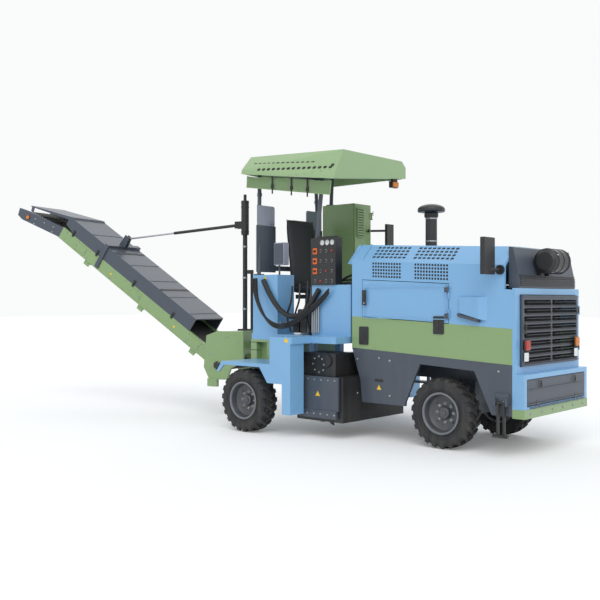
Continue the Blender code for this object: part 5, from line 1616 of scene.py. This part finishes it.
@dataclass
class Canopy:
    """Slots, hanging side curtain, lamps and clamps of the roof.

    Attributes:
        slot_pitch: Distance from slot to slot along the eaves.
        strap_places: Machine X of the curtain's straps.
    """

    slot_pitch: float = 0.074
    strap_places: tuple[float, ...] = (-2.316, -2.015, -1.772)

    def build(self) -> None:
        """Adds the pieces of the roof."""
        self.slots()
        self.curtain()
        self.lamps()
        self.clamps()
        self.edges()

    def slots(self) -> None:
        """Two rows of dark slots in the roof's slopes on each side."""
        skin = Skin("canopy_roof")
        # Dark patches painted on the roof stand for the shade inside its slots.
        dark = Piece("roof_slots", "chassis", Paint.SEAL_AND_OPENING_SHADE)
        for side in (-1, 1):
            for start, end, z_start, z_end, width, height in (
                (-2.63, -1.73, 3.095, 3.02, 0.045, 0.016), (-2.52, -1.45, 3.005, 2.93, 0.050, 0.034)):
                count = int((end - start) / self.slot_pitch)
                for k in range(count + 1):
                    share = k / count
                    x = start + (end - start) * share
                    spot, normal = skin.hit(at(x, 3.0 * side, z_start + (z_end - z_start) * share),
                                                             Vector((0, -side, 0)))
                    if spot is None:
                        continue
                    dark.matrix = facing(spot, normal)
                    dark.prism(rounded(width, height, height * 0.45), -0.0006, 0.0009, "z")
        dark.done(bevel=0)

    def curtain(self) -> None:
        """The side curtain as one hanging sheet with folds, hem, straps and buckles."""
        low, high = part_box("side_curtain")
        mid_y = (low.y + high.y) / 2
        tops = (Vector((low.x + 0.015, mid_y, 2.952)), Vector((high.x - 0.01, mid_y, 2.775)))
        feet = (Vector((low.x + 0.005, mid_y, 2.818)), Vector((high.x - 0.03, mid_y, 2.624)))
        nx, nz = 96, 18
        bm = bmesh.new()
        grid = []
        for i in range(nx + 1):
            u = i / nx
            top, foot = tops[0].lerp(tops[1], u), feet[0].lerp(feet[1], u)
            column = []
            for j in range(nz + 1):
                v = j / nz
                spot = top.lerp(foot, v)
                fold = math.sin(17.0 * u + 1.3 * math.sin(5 * u)) * 0.6 + math.sin(41.0 * u + 0.8) * 0.3
                sag = 0.010 * math.sin(math.pi * (u * 4 % 1.0)) * (1 - v)
                spot.y += fold * 0.0085 * (0.25 + 0.75 * v)
                spot.z -= sag
                column.append(bm.verts.new(spot))
            grid.append(column)
        for i in range(nx):
            for j in range(nz):
                bm.faces.new((grid[i][j], grid[i][j + 1], grid[i + 1][j + 1], grid[i + 1][j]))
        edges = [[v.co.copy() for v in (column[k] for column in grid)] for k in (0, nz)]
        ends = [[v.co.copy() for v in grid[k]] for k in (0, nx)]
        mesh = bpy.data.meshes.new("curtain_sheet")
        bmesh.ops.solidify(bm, geom=list(bm.faces), thickness=0.0012)
        bmesh.ops.recalc_face_normals(bm, faces=bm.faces)
        bm.to_mesh(mesh)
        bm.free()
        mesh.materials.append(Paint.CANVAS.value.made())
        mesh.shade_smooth()
        sheet = bpy.data.objects.new("curtain_sheet", mesh)
        bpy.context.scene.collection.objects.link(sheet)
        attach(sheet, "chassis")
        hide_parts("side_curtain")
        hem = Piece("curtain_hem", "chassis", Paint.CANVAS)
        for line in (*edges, *ends):
            hem.tube(line[::3] + [line[-1]], 0.0032, 6)
        hem_made = hem.done(bevel=0)
        strap = Piece("curtain_straps", "chassis", Paint.WEBBING)
        buckle = Piece("curtain_buckles", "chassis", Paint.BLACK)
        for place in self.strap_places:
            u = (at(place, 0, 0).x - tops[0].x) / (tops[1].x - tops[0].x)
            top, foot = tops[0].lerp(tops[1], u), feet[0].lerp(feet[1], u)
            y = mid_y - 0.011
            strap.box((top.x - 0.013, y - 0.001, foot.z + 0.03), (top.x + 0.013, y + 0.001, top.z + 0.012))
            strap.box((top.x - 0.011, y - 0.001, foot.z - 0.05), (top.x + 0.011, y + 0.001, foot.z + 0.02))
            buckle.box((top.x - 0.020, y - 0.004, foot.z + 0.015), (top.x + 0.020, y + 0.002, foot.z + 0.033))
            buckle.box((top.x - 0.020, y - 0.004, foot.z + 0.045), (top.x + 0.020, y + 0.002, foot.z + 0.058))
            for dx in (-0.017, 0.017):
                buckle.box((top.x + dx - 0.003, y - 0.004, foot.z + 0.018),
                           (top.x + dx + 0.003, y + 0.002, foot.z + 0.055))
        strap_made = strap.done(bevel=0)
        buckle_made = buckle.done(bevel=0.0008)

    def lamps(self) -> None:
        """Amber lamps at the roof's corners."""
        low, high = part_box("canopy_roof")
        skin = Skin("canopy_roof")
        shell = Piece("roof_lamp_shells", "chassis", Paint.BLACK)
        amber = Piece("roof_lamp_lenses", "chassis", Paint.AMBER)
        for side in (-1, 1):
            hit, _ = skin.hit(at(-1.43, 0.56 * side, 2.0), Vector((0, 0, 1)))
            top = hit.z if hit else at(0, 0, 2.93).z
            spot = at(-1.43, 0.56 * side, 0)
            spot.z = min(top, 2.90)
            shell.box(spot + Vector((-0.020, -0.045, -0.012)),
                      spot + Vector((0.020, 0.045, max(top - spot.z, 0.0) + 0.002)))
            shell.box(spot + Vector((-0.034, -0.062, -0.088)), spot + Vector((0.016, 0.062, -0.012)))
            amber.box(spot + Vector((0.014, -0.055, -0.082)), spot + Vector((0.032, 0.055, -0.018)))
        shell.done(bevel=0.005)
        amber.done(bevel=0.008)

    def clamps(self) -> None:
        """Collars where the posts meet the deck and the roof."""
        dark = Piece("post_collars", "chassis", Paint.SLATE)
        zinc = Piece("post_bolts", "chassis", Paint.ZINC)
        posts = (((-2.585, -0.58, 1.07), (-2.69, -0.46, 3.15)), ((-1.80, -0.58, 1.07), (-1.66, -0.46, 3.12)),
                 ((-2.585, 0.58, 1.07), (-2.69, 0.57, 3.15)))
        for foot, top in posts:
            a, b = at(*foot), at(*top)
            way = (b - a).normalized()
            for share in (0.06, 0.42, 0.80):
                spot = a.lerp(b, share)
                dark.turned([(0.0225, -0.018), (0.0295, -0.018), (0.0305, -0.014), (0.0305, 0.014),
                             (0.0295, 0.018),
                             (0.0225, 0.018)], spot, way, 28)
                zinc.bolt(spot + Vector((0.0, math.copysign(0.030, foot[1]), 0)),
                          (0, math.copysign(1, foot[1]), 0), 0.0055)
        dark.done(bevel=0)
        zinc.done(bevel=0)

    def edges(self) -> None:
        """Screws along the eaves, and ribs along the top of the roof."""
        skin = Skin("canopy_roof")
        screws = Piece("roof_screws", "chassis", Paint.ZINC)
        for side in (-1, 1):
            for k in range(12):
                x = -2.72 + 0.115 * k
                spot, normal = skin.hit(at(x, 3.0 * side, 2.865 + 0.003 * k), Vector((0, -side, 0)))
                if spot:
                    screws.bolt(spot, normal, 0.0055)
        screws.done(bevel=0)
        low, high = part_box("canopy_roof")
        # The ribs take the roof's paler green, a painted light on the roof's top.
        ribs = Piece("roof_ribs", "chassis", Paint.ROOF_PAINTED_LIGHT)
        for y in (-0.34, -0.05, 0.24, 0.50):
            line = []
            for k in range(9):
                x = low.x + 0.05 + (high.x - low.x - 0.10) * k / 8
                hit, _ = skin.hit(Vector((x, at(0, y, 0).y, high.z + 0.4)), Vector((0, 0, -1)))
                if hit:
                    line.append(hit - Vector((0, 0, 0.004)))
            if len(line) > 2:
                ribs.tube(line, 0.009, 10)
        ribs.done(bevel=0)


@dataclass
class Conveyor:
    """Belt, rollers, cover fittings, lamps and rods of the loading conveyor.

    Attributes:
        cleat_pitch: Distance from cleat to cleat along the belt.
        idlers: Distance along the beams of the return rollers.
    """

    cleat_pitch: float = 0.24
    idlers: tuple[float, ...] = (0.45, 1.45, 2.55)

    def build(self) -> None:
        """Finds the conveyor's own axes and adds its pieces."""
        slew, luff = joint("conveyor_slew"), joint("conveyor_luff")
        pivot = Vector(luff["pos_m"])
        across = -Vector(luff["axis"]).normalized()
        flat = across.cross(Vector((0, 0, 1))).normalized()
        if (centre_of("conveyor_head") - pivot).dot(flat) < 0:
            flat = -flat
        self.tilt = math.radians(34.0)
        run = (flat * math.cos(self.tilt) + Vector((0, 0, 1)) * math.sin(self.tilt)).normalized()
        up = (Vector((0, 0, 1)) * math.cos(self.tilt) - flat * math.sin(self.tilt)).normalized()
        side = up.cross(run)
        self.place = Matrix.Translation(pivot) @ Matrix((run, side, up)).transposed().to_4x4()
        self.slew_place = Matrix.Translation(Vector(slew["pos_m"])) @ Matrix.Rotation(
            math.atan2(flat.y, flat.x), 4, "Z")
        self.cover()
        self.beams()
        self.rollers()
        self.head()
        self.yoke()
        self.mast()

    def cover(self) -> None:
        """Ribs, toggle latches and strap of the belt's cover."""
        skin = Skin("conveyor_cover")
        rib = Piece("cover_ribs", "conveyor", Paint.SLATE, self.place)
        black = Piece("cover_latches", "conveyor", Paint.BLACK, self.place)
        strap = Piece("cover_straps", "conveyor", Paint.WEBBING, self.place)
        to_world, normal_way = self.place, self.place.to_3x3()
        for k in range(7):
            x = 0.74 + 0.385 * k
            line = []
            for j in range(25):
                y = -0.315 + 0.63 * j / 24
                hit, _ = skin.hit(to_world @ Vector((x, y, 0.6)), normal_way @ Vector((0, 0, -1)))
                if hit:
                    line.append(to_world.inverted() @ hit)
            for a, b in zip(line, line[1:]):
                way = (b - a)
                rib.rod(a - way * 0.05, b + way * 0.05, 0.0055, 8)
        for x in (0.95, 1.70, 2.45, 2.95):
            for y, out in ((-0.33, -1), (0.33, 1)):
                black.box((x - 0.016, min(y, y + out * 0.010), 0.062),
                          (x + 0.016, max(y, y + out * 0.010), 0.150))
                black.rod((x - 0.022, y + out * 0.008, 0.142), (x + 0.022, y + out * 0.008, 0.142), 0.006, 10)
                black.box((x - 0.011, min(y + out * 0.006, y + out * 0.016), 0.070),
                          (x + 0.011, max(y + out * 0.006, y + out * 0.016), 0.118))
        for x in (1.30, 2.20):
            line = []
            for j in range(37):
                y = -0.335 + 0.67 * j / 36
                hit, _ = skin.hit(to_world @ Vector((x, y, 0.6)), normal_way @ Vector((0, 0, -1)))
                if hit:
                    line.append(to_world.inverted() @ hit + Vector((0, 0, 0.0015)))
            for a, b in zip(line, line[1:]):
                strap.put([a + Vector((-0.02, 0, 0)), a + Vector((0.02, 0, 0)), b + Vector((0.02, 0, 0)),
                           b + Vector((-0.02, 0, 0)),
                           a + Vector((-0.02, 0, 0.0025)), a + Vector((0.02, 0, 0.0025)),
                           b + Vector((0.02, 0, 0.0025)),
                           b + Vector((-0.02, 0, 0.0025))],
                          BLOCK_FACES)
        rib.done(bevel=0)
        black.done(bevel=0.0015)
        strap.done(bevel=0)

    def beams(self) -> None:
        """Bolts, lightening plates and marks on the side beams."""
        zinc = Piece("beam_bolts", "conveyor", Paint.ZINC, self.place)
        mark = Piece("beam_marks", "conveyor", Paint.SIGNAL, self.place)
        plate = Piece("beam_plates", "conveyor", Paint.SAGE, self.place)
        for y, out in ((-0.33, -1), (0.33, 1)):
            for k in range(13):
                zinc.bolt((0.12 + 0.245 * k, y, 0.060), (0, out, 0), 0.0075)
                zinc.bolt((0.12 + 0.245 * k, y, -0.060), (0, out, 0), 0.0075)
            for x in (0.50, 1.62, 2.74):
                lo, hi = sorted((y - out * 0.001, y + out * 0.006))
                plate.box((x - 0.11, lo, -0.052), (x + 0.11, hi, 0.050))
                for dx in (-0.085, 0.085):
                    zinc.bolt((x + dx, y + out * 0.006, 0.0), (0, out, 0), 0.008)
            for x in (0.85, 2.10):
                mark.turned([(0, -0.0004), (0.016, -0.0004), (0.016, 0.0008), (0, 0.0008)], (x, y, -0.005),
                            (0, out, 0), 28)
        zinc.done(bevel=0)
        mark.done(bevel=0)
        plate.done(bevel=0.0012)

    def rollers(self) -> None:
        """End discs of the return rollers, and cleats on the belt."""
        steel = Piece("idler_ends", "conveyor", Paint.ZINC, self.place)
        for x in self.idlers:
            for y, out in ((-0.288, 1), (0.288, -1)):
                steel.turned([(0, 0), (0.030, 0), (0.026, 0.006), (0.014, 0.009), (0, 0.009)],
                             (x, y, -0.115), (0, out, 0), 24)
        steel.done(bevel=0)
        skin = Skin("conveyor_belt")
        cleats = Piece("belt_cleats", "conveyor", Paint.BELT, self.place)
        spin = self.place.to_3x3()
        for way, z in ((-1, 0.5), (1, -0.5)):
            count = int(3.9 / self.cleat_pitch)
            for k in range(count):
                x = 0.05 + self.cleat_pitch * k
                for y0, y1, lead in ((-0.225, 0.0, 0.055), (0.0, 0.225, -0.055)):
                    ends = []
                    for j in range(5):
                        y = y0 + (y1 - y0) * j / 4
                        start = x + (0.055 if y0 < 0 else 0.0) + lead * (-(j / 4))
                        hit, normal = skin.hit(self.place @ Vector((start, y, z)), spin @ Vector((0, 0, way)))
                        if hit:
                            ends.append(self.place.inverted() @ hit)
                    for a, b in zip(ends, ends[1:]):
                        if (b - a).length < 0.12:
                            cleats.rod(a, b + (b - a) * 0.04, 0.006, 6)
        cleats.done(bevel=0)

    def head(self) -> None:
        """Lamps and tension bolts on the sides of the head."""
        skin = Skin("conveyor_head")
        spin = self.place.to_3x3()
        lens = Piece("head_lamps", "conveyor", Paint.AMBER)
        base = Piece("head_lamp_bases", "conveyor", Paint.BLACK)
        zinc = Piece("head_bolts", "conveyor", Paint.ZINC)
        knee = Vector((3.16, 0, 0))
        drop = Matrix.Rotation(math.radians(13.0), 3, "Y")
        for out in (-1, 1):
            for along, up in ((0.16, 0.02), (0.34, 0.02), (0.52, 0.02), (0.16, -0.05), (0.52, -0.05)):
                local = knee + drop @ Vector((along, 0, up))
                hit, normal = skin.hit(self.place @ (local + Vector((0, out * 1.0, 0))),
                                                       spin @ Vector((0, -out, 0)))
                if hit:
                    zinc.bolt(hit, normal, 0.009)
            local = knee + drop @ Vector((0.66, 0, 0.0))
            hit, normal = skin.hit(self.place @ (local + Vector((0, out * 1.0, 0))),
                                   spin @ Vector((0, -out, 0)))
            if hit:
                base.turned([(0, -0.001), (0.036, -0.001), (0.036, 0.006), (0.030, 0.008), (0, 0.008)], hit,
                            normal, 28)
                lens.turned([(0, 0.007), (0.029, 0.007), (0.027, 0.013), (0.015, 0.018), (0, 0.019)], hit,
                            normal, 28)
        for piece in (lens, base, zinc):
            piece.done(bevel=0)

    def yoke(self) -> None:
        """Pivot caps and bolts on the slewing yoke."""
        skin = Skin("conveyor_yoke")
        spin = self.slew_place.to_3x3()
        caps = Piece("yoke_caps", "conveyor_yoke", Paint.BLACK)
        zinc = Piece("yoke_bolts", "conveyor_yoke", Paint.ZINC)
        base = self.slew_place.copy()
        base.translation.z = 0
        for out in (-1, 1):
            spot, normal = skin.hit(base @ Vector((0.70, out * 1.2, 0.647)), spin @ Vector((0, -out, 0)))
            if spot:
                caps.turned([(0, -0.001), (0.052, -0.001), (0.052, 0.008), (0.040, 0.014), (0, 0.015)],
                            spot, normal, 36)
                for k in range(6):
                    a = math.tau * k / 6
                    around = facing(spot, normal) @ Vector((0.044 * math.cos(a), 0.044 * math.sin(a), 0.009))
                    zinc.bolt(around, normal, 0.0055)
            for x, z in ((0.40, 0.95), (0.55, 1.00), (0.70, 0.95), (0.82, 0.80), (0.80, 0.60), (0.45, 0.72)):
                spot, normal = skin.hit(base @ Vector((x, out * 1.2, z)), spin @ Vector((0, -out, 0)))
                if spot and abs(normal.z) < 0.4:
                    zinc.bolt(spot, normal, 0.009)
        caps.done(bevel=0)
        zinc.done(bevel=0)

    def mast(self) -> None:
        """Clamps and bands on the mast."""
        mid = self.slew_place @ Vector((0.53, 0, 0))
        zinc = Piece("mast_clamps", "conveyor_yoke", Paint.ZINC)
        black = Piece("mast_bands", "conveyor_yoke", Paint.BLACK)
        for z in (1.35, 1.75, 2.15):
            zinc.turned([(0.0285, -0.011), (0.0335, -0.011), (0.0335, 0.011), (0.0285, 0.011)],
                        (mid.x, mid.y, z), (0, 0, 1), 28)
        for z in (2.34, 2.66, 2.715):
            black.turned([(0.048, -0.007), (0.0535, -0.007), (0.0535, 0.007), (0.048, 0.007)],
                         (mid.x, mid.y, z), (0, 0, 1), 28)
        zinc.done(bevel=0)
        black.done(bevel=0)


@dataclass
class MillingUnit:
    """Picks of the milling drum, and bolts and marks on its drive and side plates."""

    def build(self) -> None:
        """Adds the bolts, picks and marks of the milling end."""
        self.side_plates()
        self.housing()
        self.picks()

    def side_plates(self) -> None:
        """Bolts, wear shoe screws and marks on the side plates."""
        for side, name in ((-1, "right"), (1, "left")):
            body = f"side_plate_{name}"
            low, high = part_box(body)
            skin = Skin(body)
            zinc = Piece(f"side_plate_bolts_{name}", body, Paint.ZINC)
            for k in range(6):
                for z in (low.z + 0.045, high.z - 0.035):
                    x = low.x + (high.x - low.x) * (k + 0.5) / 6
                    spot, normal = skin.hit(Vector((x, low.y - 1 if side < 0 else high.y + 1, z)),
                                                             Vector((0, -side, 0)))
                    if spot:
                        zinc.bolt(spot, normal, 0.008)
            zinc.done(bevel=0)
            spot, normal = skin.hit(
                Vector(((low.x + high.x) / 2, low.y - 1 if side < 0 else high.y + 1,
                        (low.z + high.z) / 2 + 0.04)),
                Vector((0, -side, 0)))
            if spot:
                mark = Piece(f"side_plate_mark_{name}", body, Paint.SIGNAL, facing(spot, normal))
                mark.prism([(-0.032, -0.028), (0.032, -0.028), (0.0, 0.028)], -0.0004, 0.0009, "z")
                mark.done(bevel=0)

    def housing(self) -> None:
        """Bolts around the drum drive."""
        zinc = Piece("drive_bolts", "chassis", Paint.ZINC)
        low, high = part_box("drum_drive")
        skin = Skin("drum_drive")
        for k in range(8):
            a = math.tau * k / 8
            x = (low.x + high.x) / 2 + 0.085 * math.cos(a)
            z = (low.z + high.z) / 2 + 0.085 * math.sin(a)
            spot, normal = skin.hit(Vector((x, low.y - 1, z)), Vector((0, 1, 0)))
            if spot:
                zinc.bolt(spot, normal, 0.008)
        zinc.done(bevel=0)

    def picks(self) -> None:
        """Carbide tips between the drum's tool holders."""
        data = joint("drum_spin")
        low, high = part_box("milling_drum")
        centre, axis = Vector(data["pos_m"]), Vector(data["axis"]).normalized()
        skin = Skin("milling_drum")
        tips = Piece("drum_tips", "milling_drum", Paint.STEEL)
        width = high.y - low.y
        turn = axis.to_track_quat("Z", "Y").to_matrix()
        for k in range(36):
            a = math.tau * (k * 0.382)
            y = low.y + width * (0.05 + 0.90 * k / 35)
            way = turn @ Vector((math.cos(a), math.sin(a), 0))
            foot = Vector((centre.x, y, centre.z))
            hit, _ = skin.hit(foot + way * 0.5, -way)
            if hit and (hit - foot).length > 0.05:
                lean = (way + way.cross(axis) * 0.5).normalized()
                tips.turned([(0, -0.012), (0.010, -0.012), (0.010, 0.002), (0.005, 0.012), (0, 0.014)], hit,
                            lean, 12)
        tips.done(bevel=0)


@dataclass
class Studio:
    """Floor, world, lamps and camera.

    Attributes:
        azimuth: Camera's azimuth in degrees, 0 looking along +Y.
        lens: Focal length in millimetres on a 36 mm sensor.
        stand: Camera's place in machine coordinates.
    """

    azimuth: float = 41.83
    lens: float = 50.76
    stand: Point = (4.50902, -7.77198, 1.465)

    def build(self) -> None:
        """Makes the set."""
        self.floor()
        self.lights()
        self.camera()
        bpy.context.scene.view_settings.view_transform = "Standard"

    def floor(self) -> None:
        """A pale plain floor that shows white to the camera and keeps the shadow."""
        mesh = bpy.data.meshes.new("studio_floor")
        r = 60.0
        mesh.from_pydata([(-r, -r, 0), (r, -r, 0), (r, r, 0), (-r, r, 0)], [], [(0, 1, 2, 3)])
        made = bpy.data.materials.new("pale studio floor")
        made.use_nodes = True
        tree = made.node_tree
        shader = tree.nodes["Principled BSDF"]
        place = add(tree, "ShaderNodeTexCoord").outputs["Object"]
        grain = add(tree, "ShaderNodeTexNoise", {"Vector": place, "Scale": 0.35, "Detail": 3.0})
        tint = add(tree, "ShaderNodeMix", {"Factor": grain.outputs["Fac"], "A": linear("#F4F5F5"),
                                           "B": linear("#F9F9F8")},
                   data_type="RGBA")
        tree.links.new(tint.outputs["Result"], shader.inputs["Base Color"])
        tree.links.new(tint.outputs["Result"], shader.inputs["Emission Color"])
        seen = add(tree, "ShaderNodeMath", {0: shown_rays(tree), 1: 0.12}, operation="MULTIPLY")
        tree.links.new(seen.outputs["Value"], shader.inputs["Emission Strength"])
        shader.inputs["Roughness"].default_value = 0.9
        mesh.materials.append(made)
        floor = bpy.data.objects.new("studio_floor", mesh)
        bpy.context.scene.collection.objects.link(floor)

    def lights(self) -> None:
        """A soft sky, white to the camera, and three wide lamps."""
        world = bpy.context.scene.world or bpy.data.worlds.new("studio")
        bpy.context.scene.world = world
        world.use_nodes = True
        tree = world.node_tree
        tree.nodes.clear()
        soft = add(tree, "ShaderNodeBackground", {"Color": linear("#EEF2F8"), "Strength": 0.62})
        white = add(tree, "ShaderNodeBackground", {"Color": linear("#FAFBFB"), "Strength": 1.0})
        both = add(tree, "ShaderNodeMixShader", {0: shown_rays(tree), 1: soft.outputs["Background"],
                                                 2: white.outputs["Background"]})
        add(tree, "ShaderNodeOutputWorld", {"Surface": both.outputs["Shader"]})
        for name, spot, strength, spread in (
            ("key", (5.0, -7.5, 8.5), 1.28, 50.0), ("fill", (7.5, -1.5, 5.0), 0.42, 70.0),
            ("rim", (-4.0, 6.0, 7.0), 0.45, 60.0)):
            data = bpy.data.lights.new(name, "SUN")
            data.energy, data.angle = strength, math.radians(spread)
            lamp = bpy.data.objects.new(name, data)
            lamp.location = at(*spot)
            aim = at(0, 0, 0) - lamp.location
            lamp.rotation_euler = aim.to_track_quat("-Z", "Y").to_euler()
            bpy.context.scene.collection.objects.link(lamp)

    def camera(self) -> None:
        """The camera, level, looking at the machine's front right corner."""
        data = bpy.data.cameras.new("view")
        data.lens, data.sensor_width = self.lens, 36.0
        made = bpy.data.objects.new("view", data)
        made.location = at(*self.stand)
        made.rotation_euler = (math.radians(90), 0, math.radians(self.azimuth))
        bpy.context.scene.collection.objects.link(made)
        bpy.context.scene.camera = made


@dataclass
class Bodywork:
    """Gives every carried-over node its finish and smooth shading.

    Attributes:
        crease: Edges sharper than this many degrees stay crisp.
    """

    crease: float = 34.0
    finishes: dict[Paint, tuple[str, ...]] = field(default_factory=lambda: {
        Paint.SKY: ("hood", "engine_door_right", "engine_door_left", "nose_frame", "operator_deck"),
        Paint.SAGE: ("green_band", "bumper_strip", "rear_box", "control_cabinet", "cabinet_door",
                     "conveyor_yoke",
                     "conveyor_frame"),
        # The roof takes the sage green painted paler, as painted light on its top.
        Paint.ROOF_PAINTED_LIGHT: ("canopy_roof",),
        Paint.BLACK: ("air_cleaner", "intake_stack", "front_mirror_right", "front_mirror_left",
                      "drum_housing",
                      "drum_drive", "instrument_panel", "seat_pedestal", "cabinet_mirror", "conveyor_mast",
                      "stay_barrel",
                      "folding_step"),
        Paint.HOSE: ("hose_loop",),
        Paint.SEAL_AND_OPENING_SHADE: ("steering_wheel",),
        Paint.IRON: ("knuckle_right", "knuckle_left", "milling_drum"),
        # The engine block takes iron painted darker, as the shade deep behind the openings.
        Paint.IRON_RECESS_SHADE: ("engine_block",),
        Paint.STEEL: ("stay_rod",),
        Paint.BELT: ("conveyor_belt",),
        Paint.VINYL: ("seat",),
        Paint.CANVAS: ("side_curtain",),
    })

    def build(self) -> None:
        """Dresses the nodes; what no finish names is slate."""
        given = {node: paint for paint, nodes in self.finishes.items() for node in nodes}
        for name, node in frame["nodes"].items():
            paint = given.get(name, Paint.SLATE)
            node.data.materials.clear()
            node.data.materials.append(paint.value.made())
            node.data.shade_smooth()
            node.data.set_sharp_from_angle(angle=math.radians(self.crease))
        LOG.info("dressed %d nodes", len(frame["nodes"]))


def main() -> None:
    """Builds the machine's looks in order."""
    Bodywork().build()
    for corner in ("front_right", "front_left", "rear_right", "rear_left"):
        Wheel(corner).build()
    for part in (EngineBody(), Nose(), OperatorStation(), Canopy(), Conveyor(), MillingUnit(), Studio()):
        part.build()
        LOG.info("%s is built", type(part).__name__)


if __name__ == "__main__":
    main()
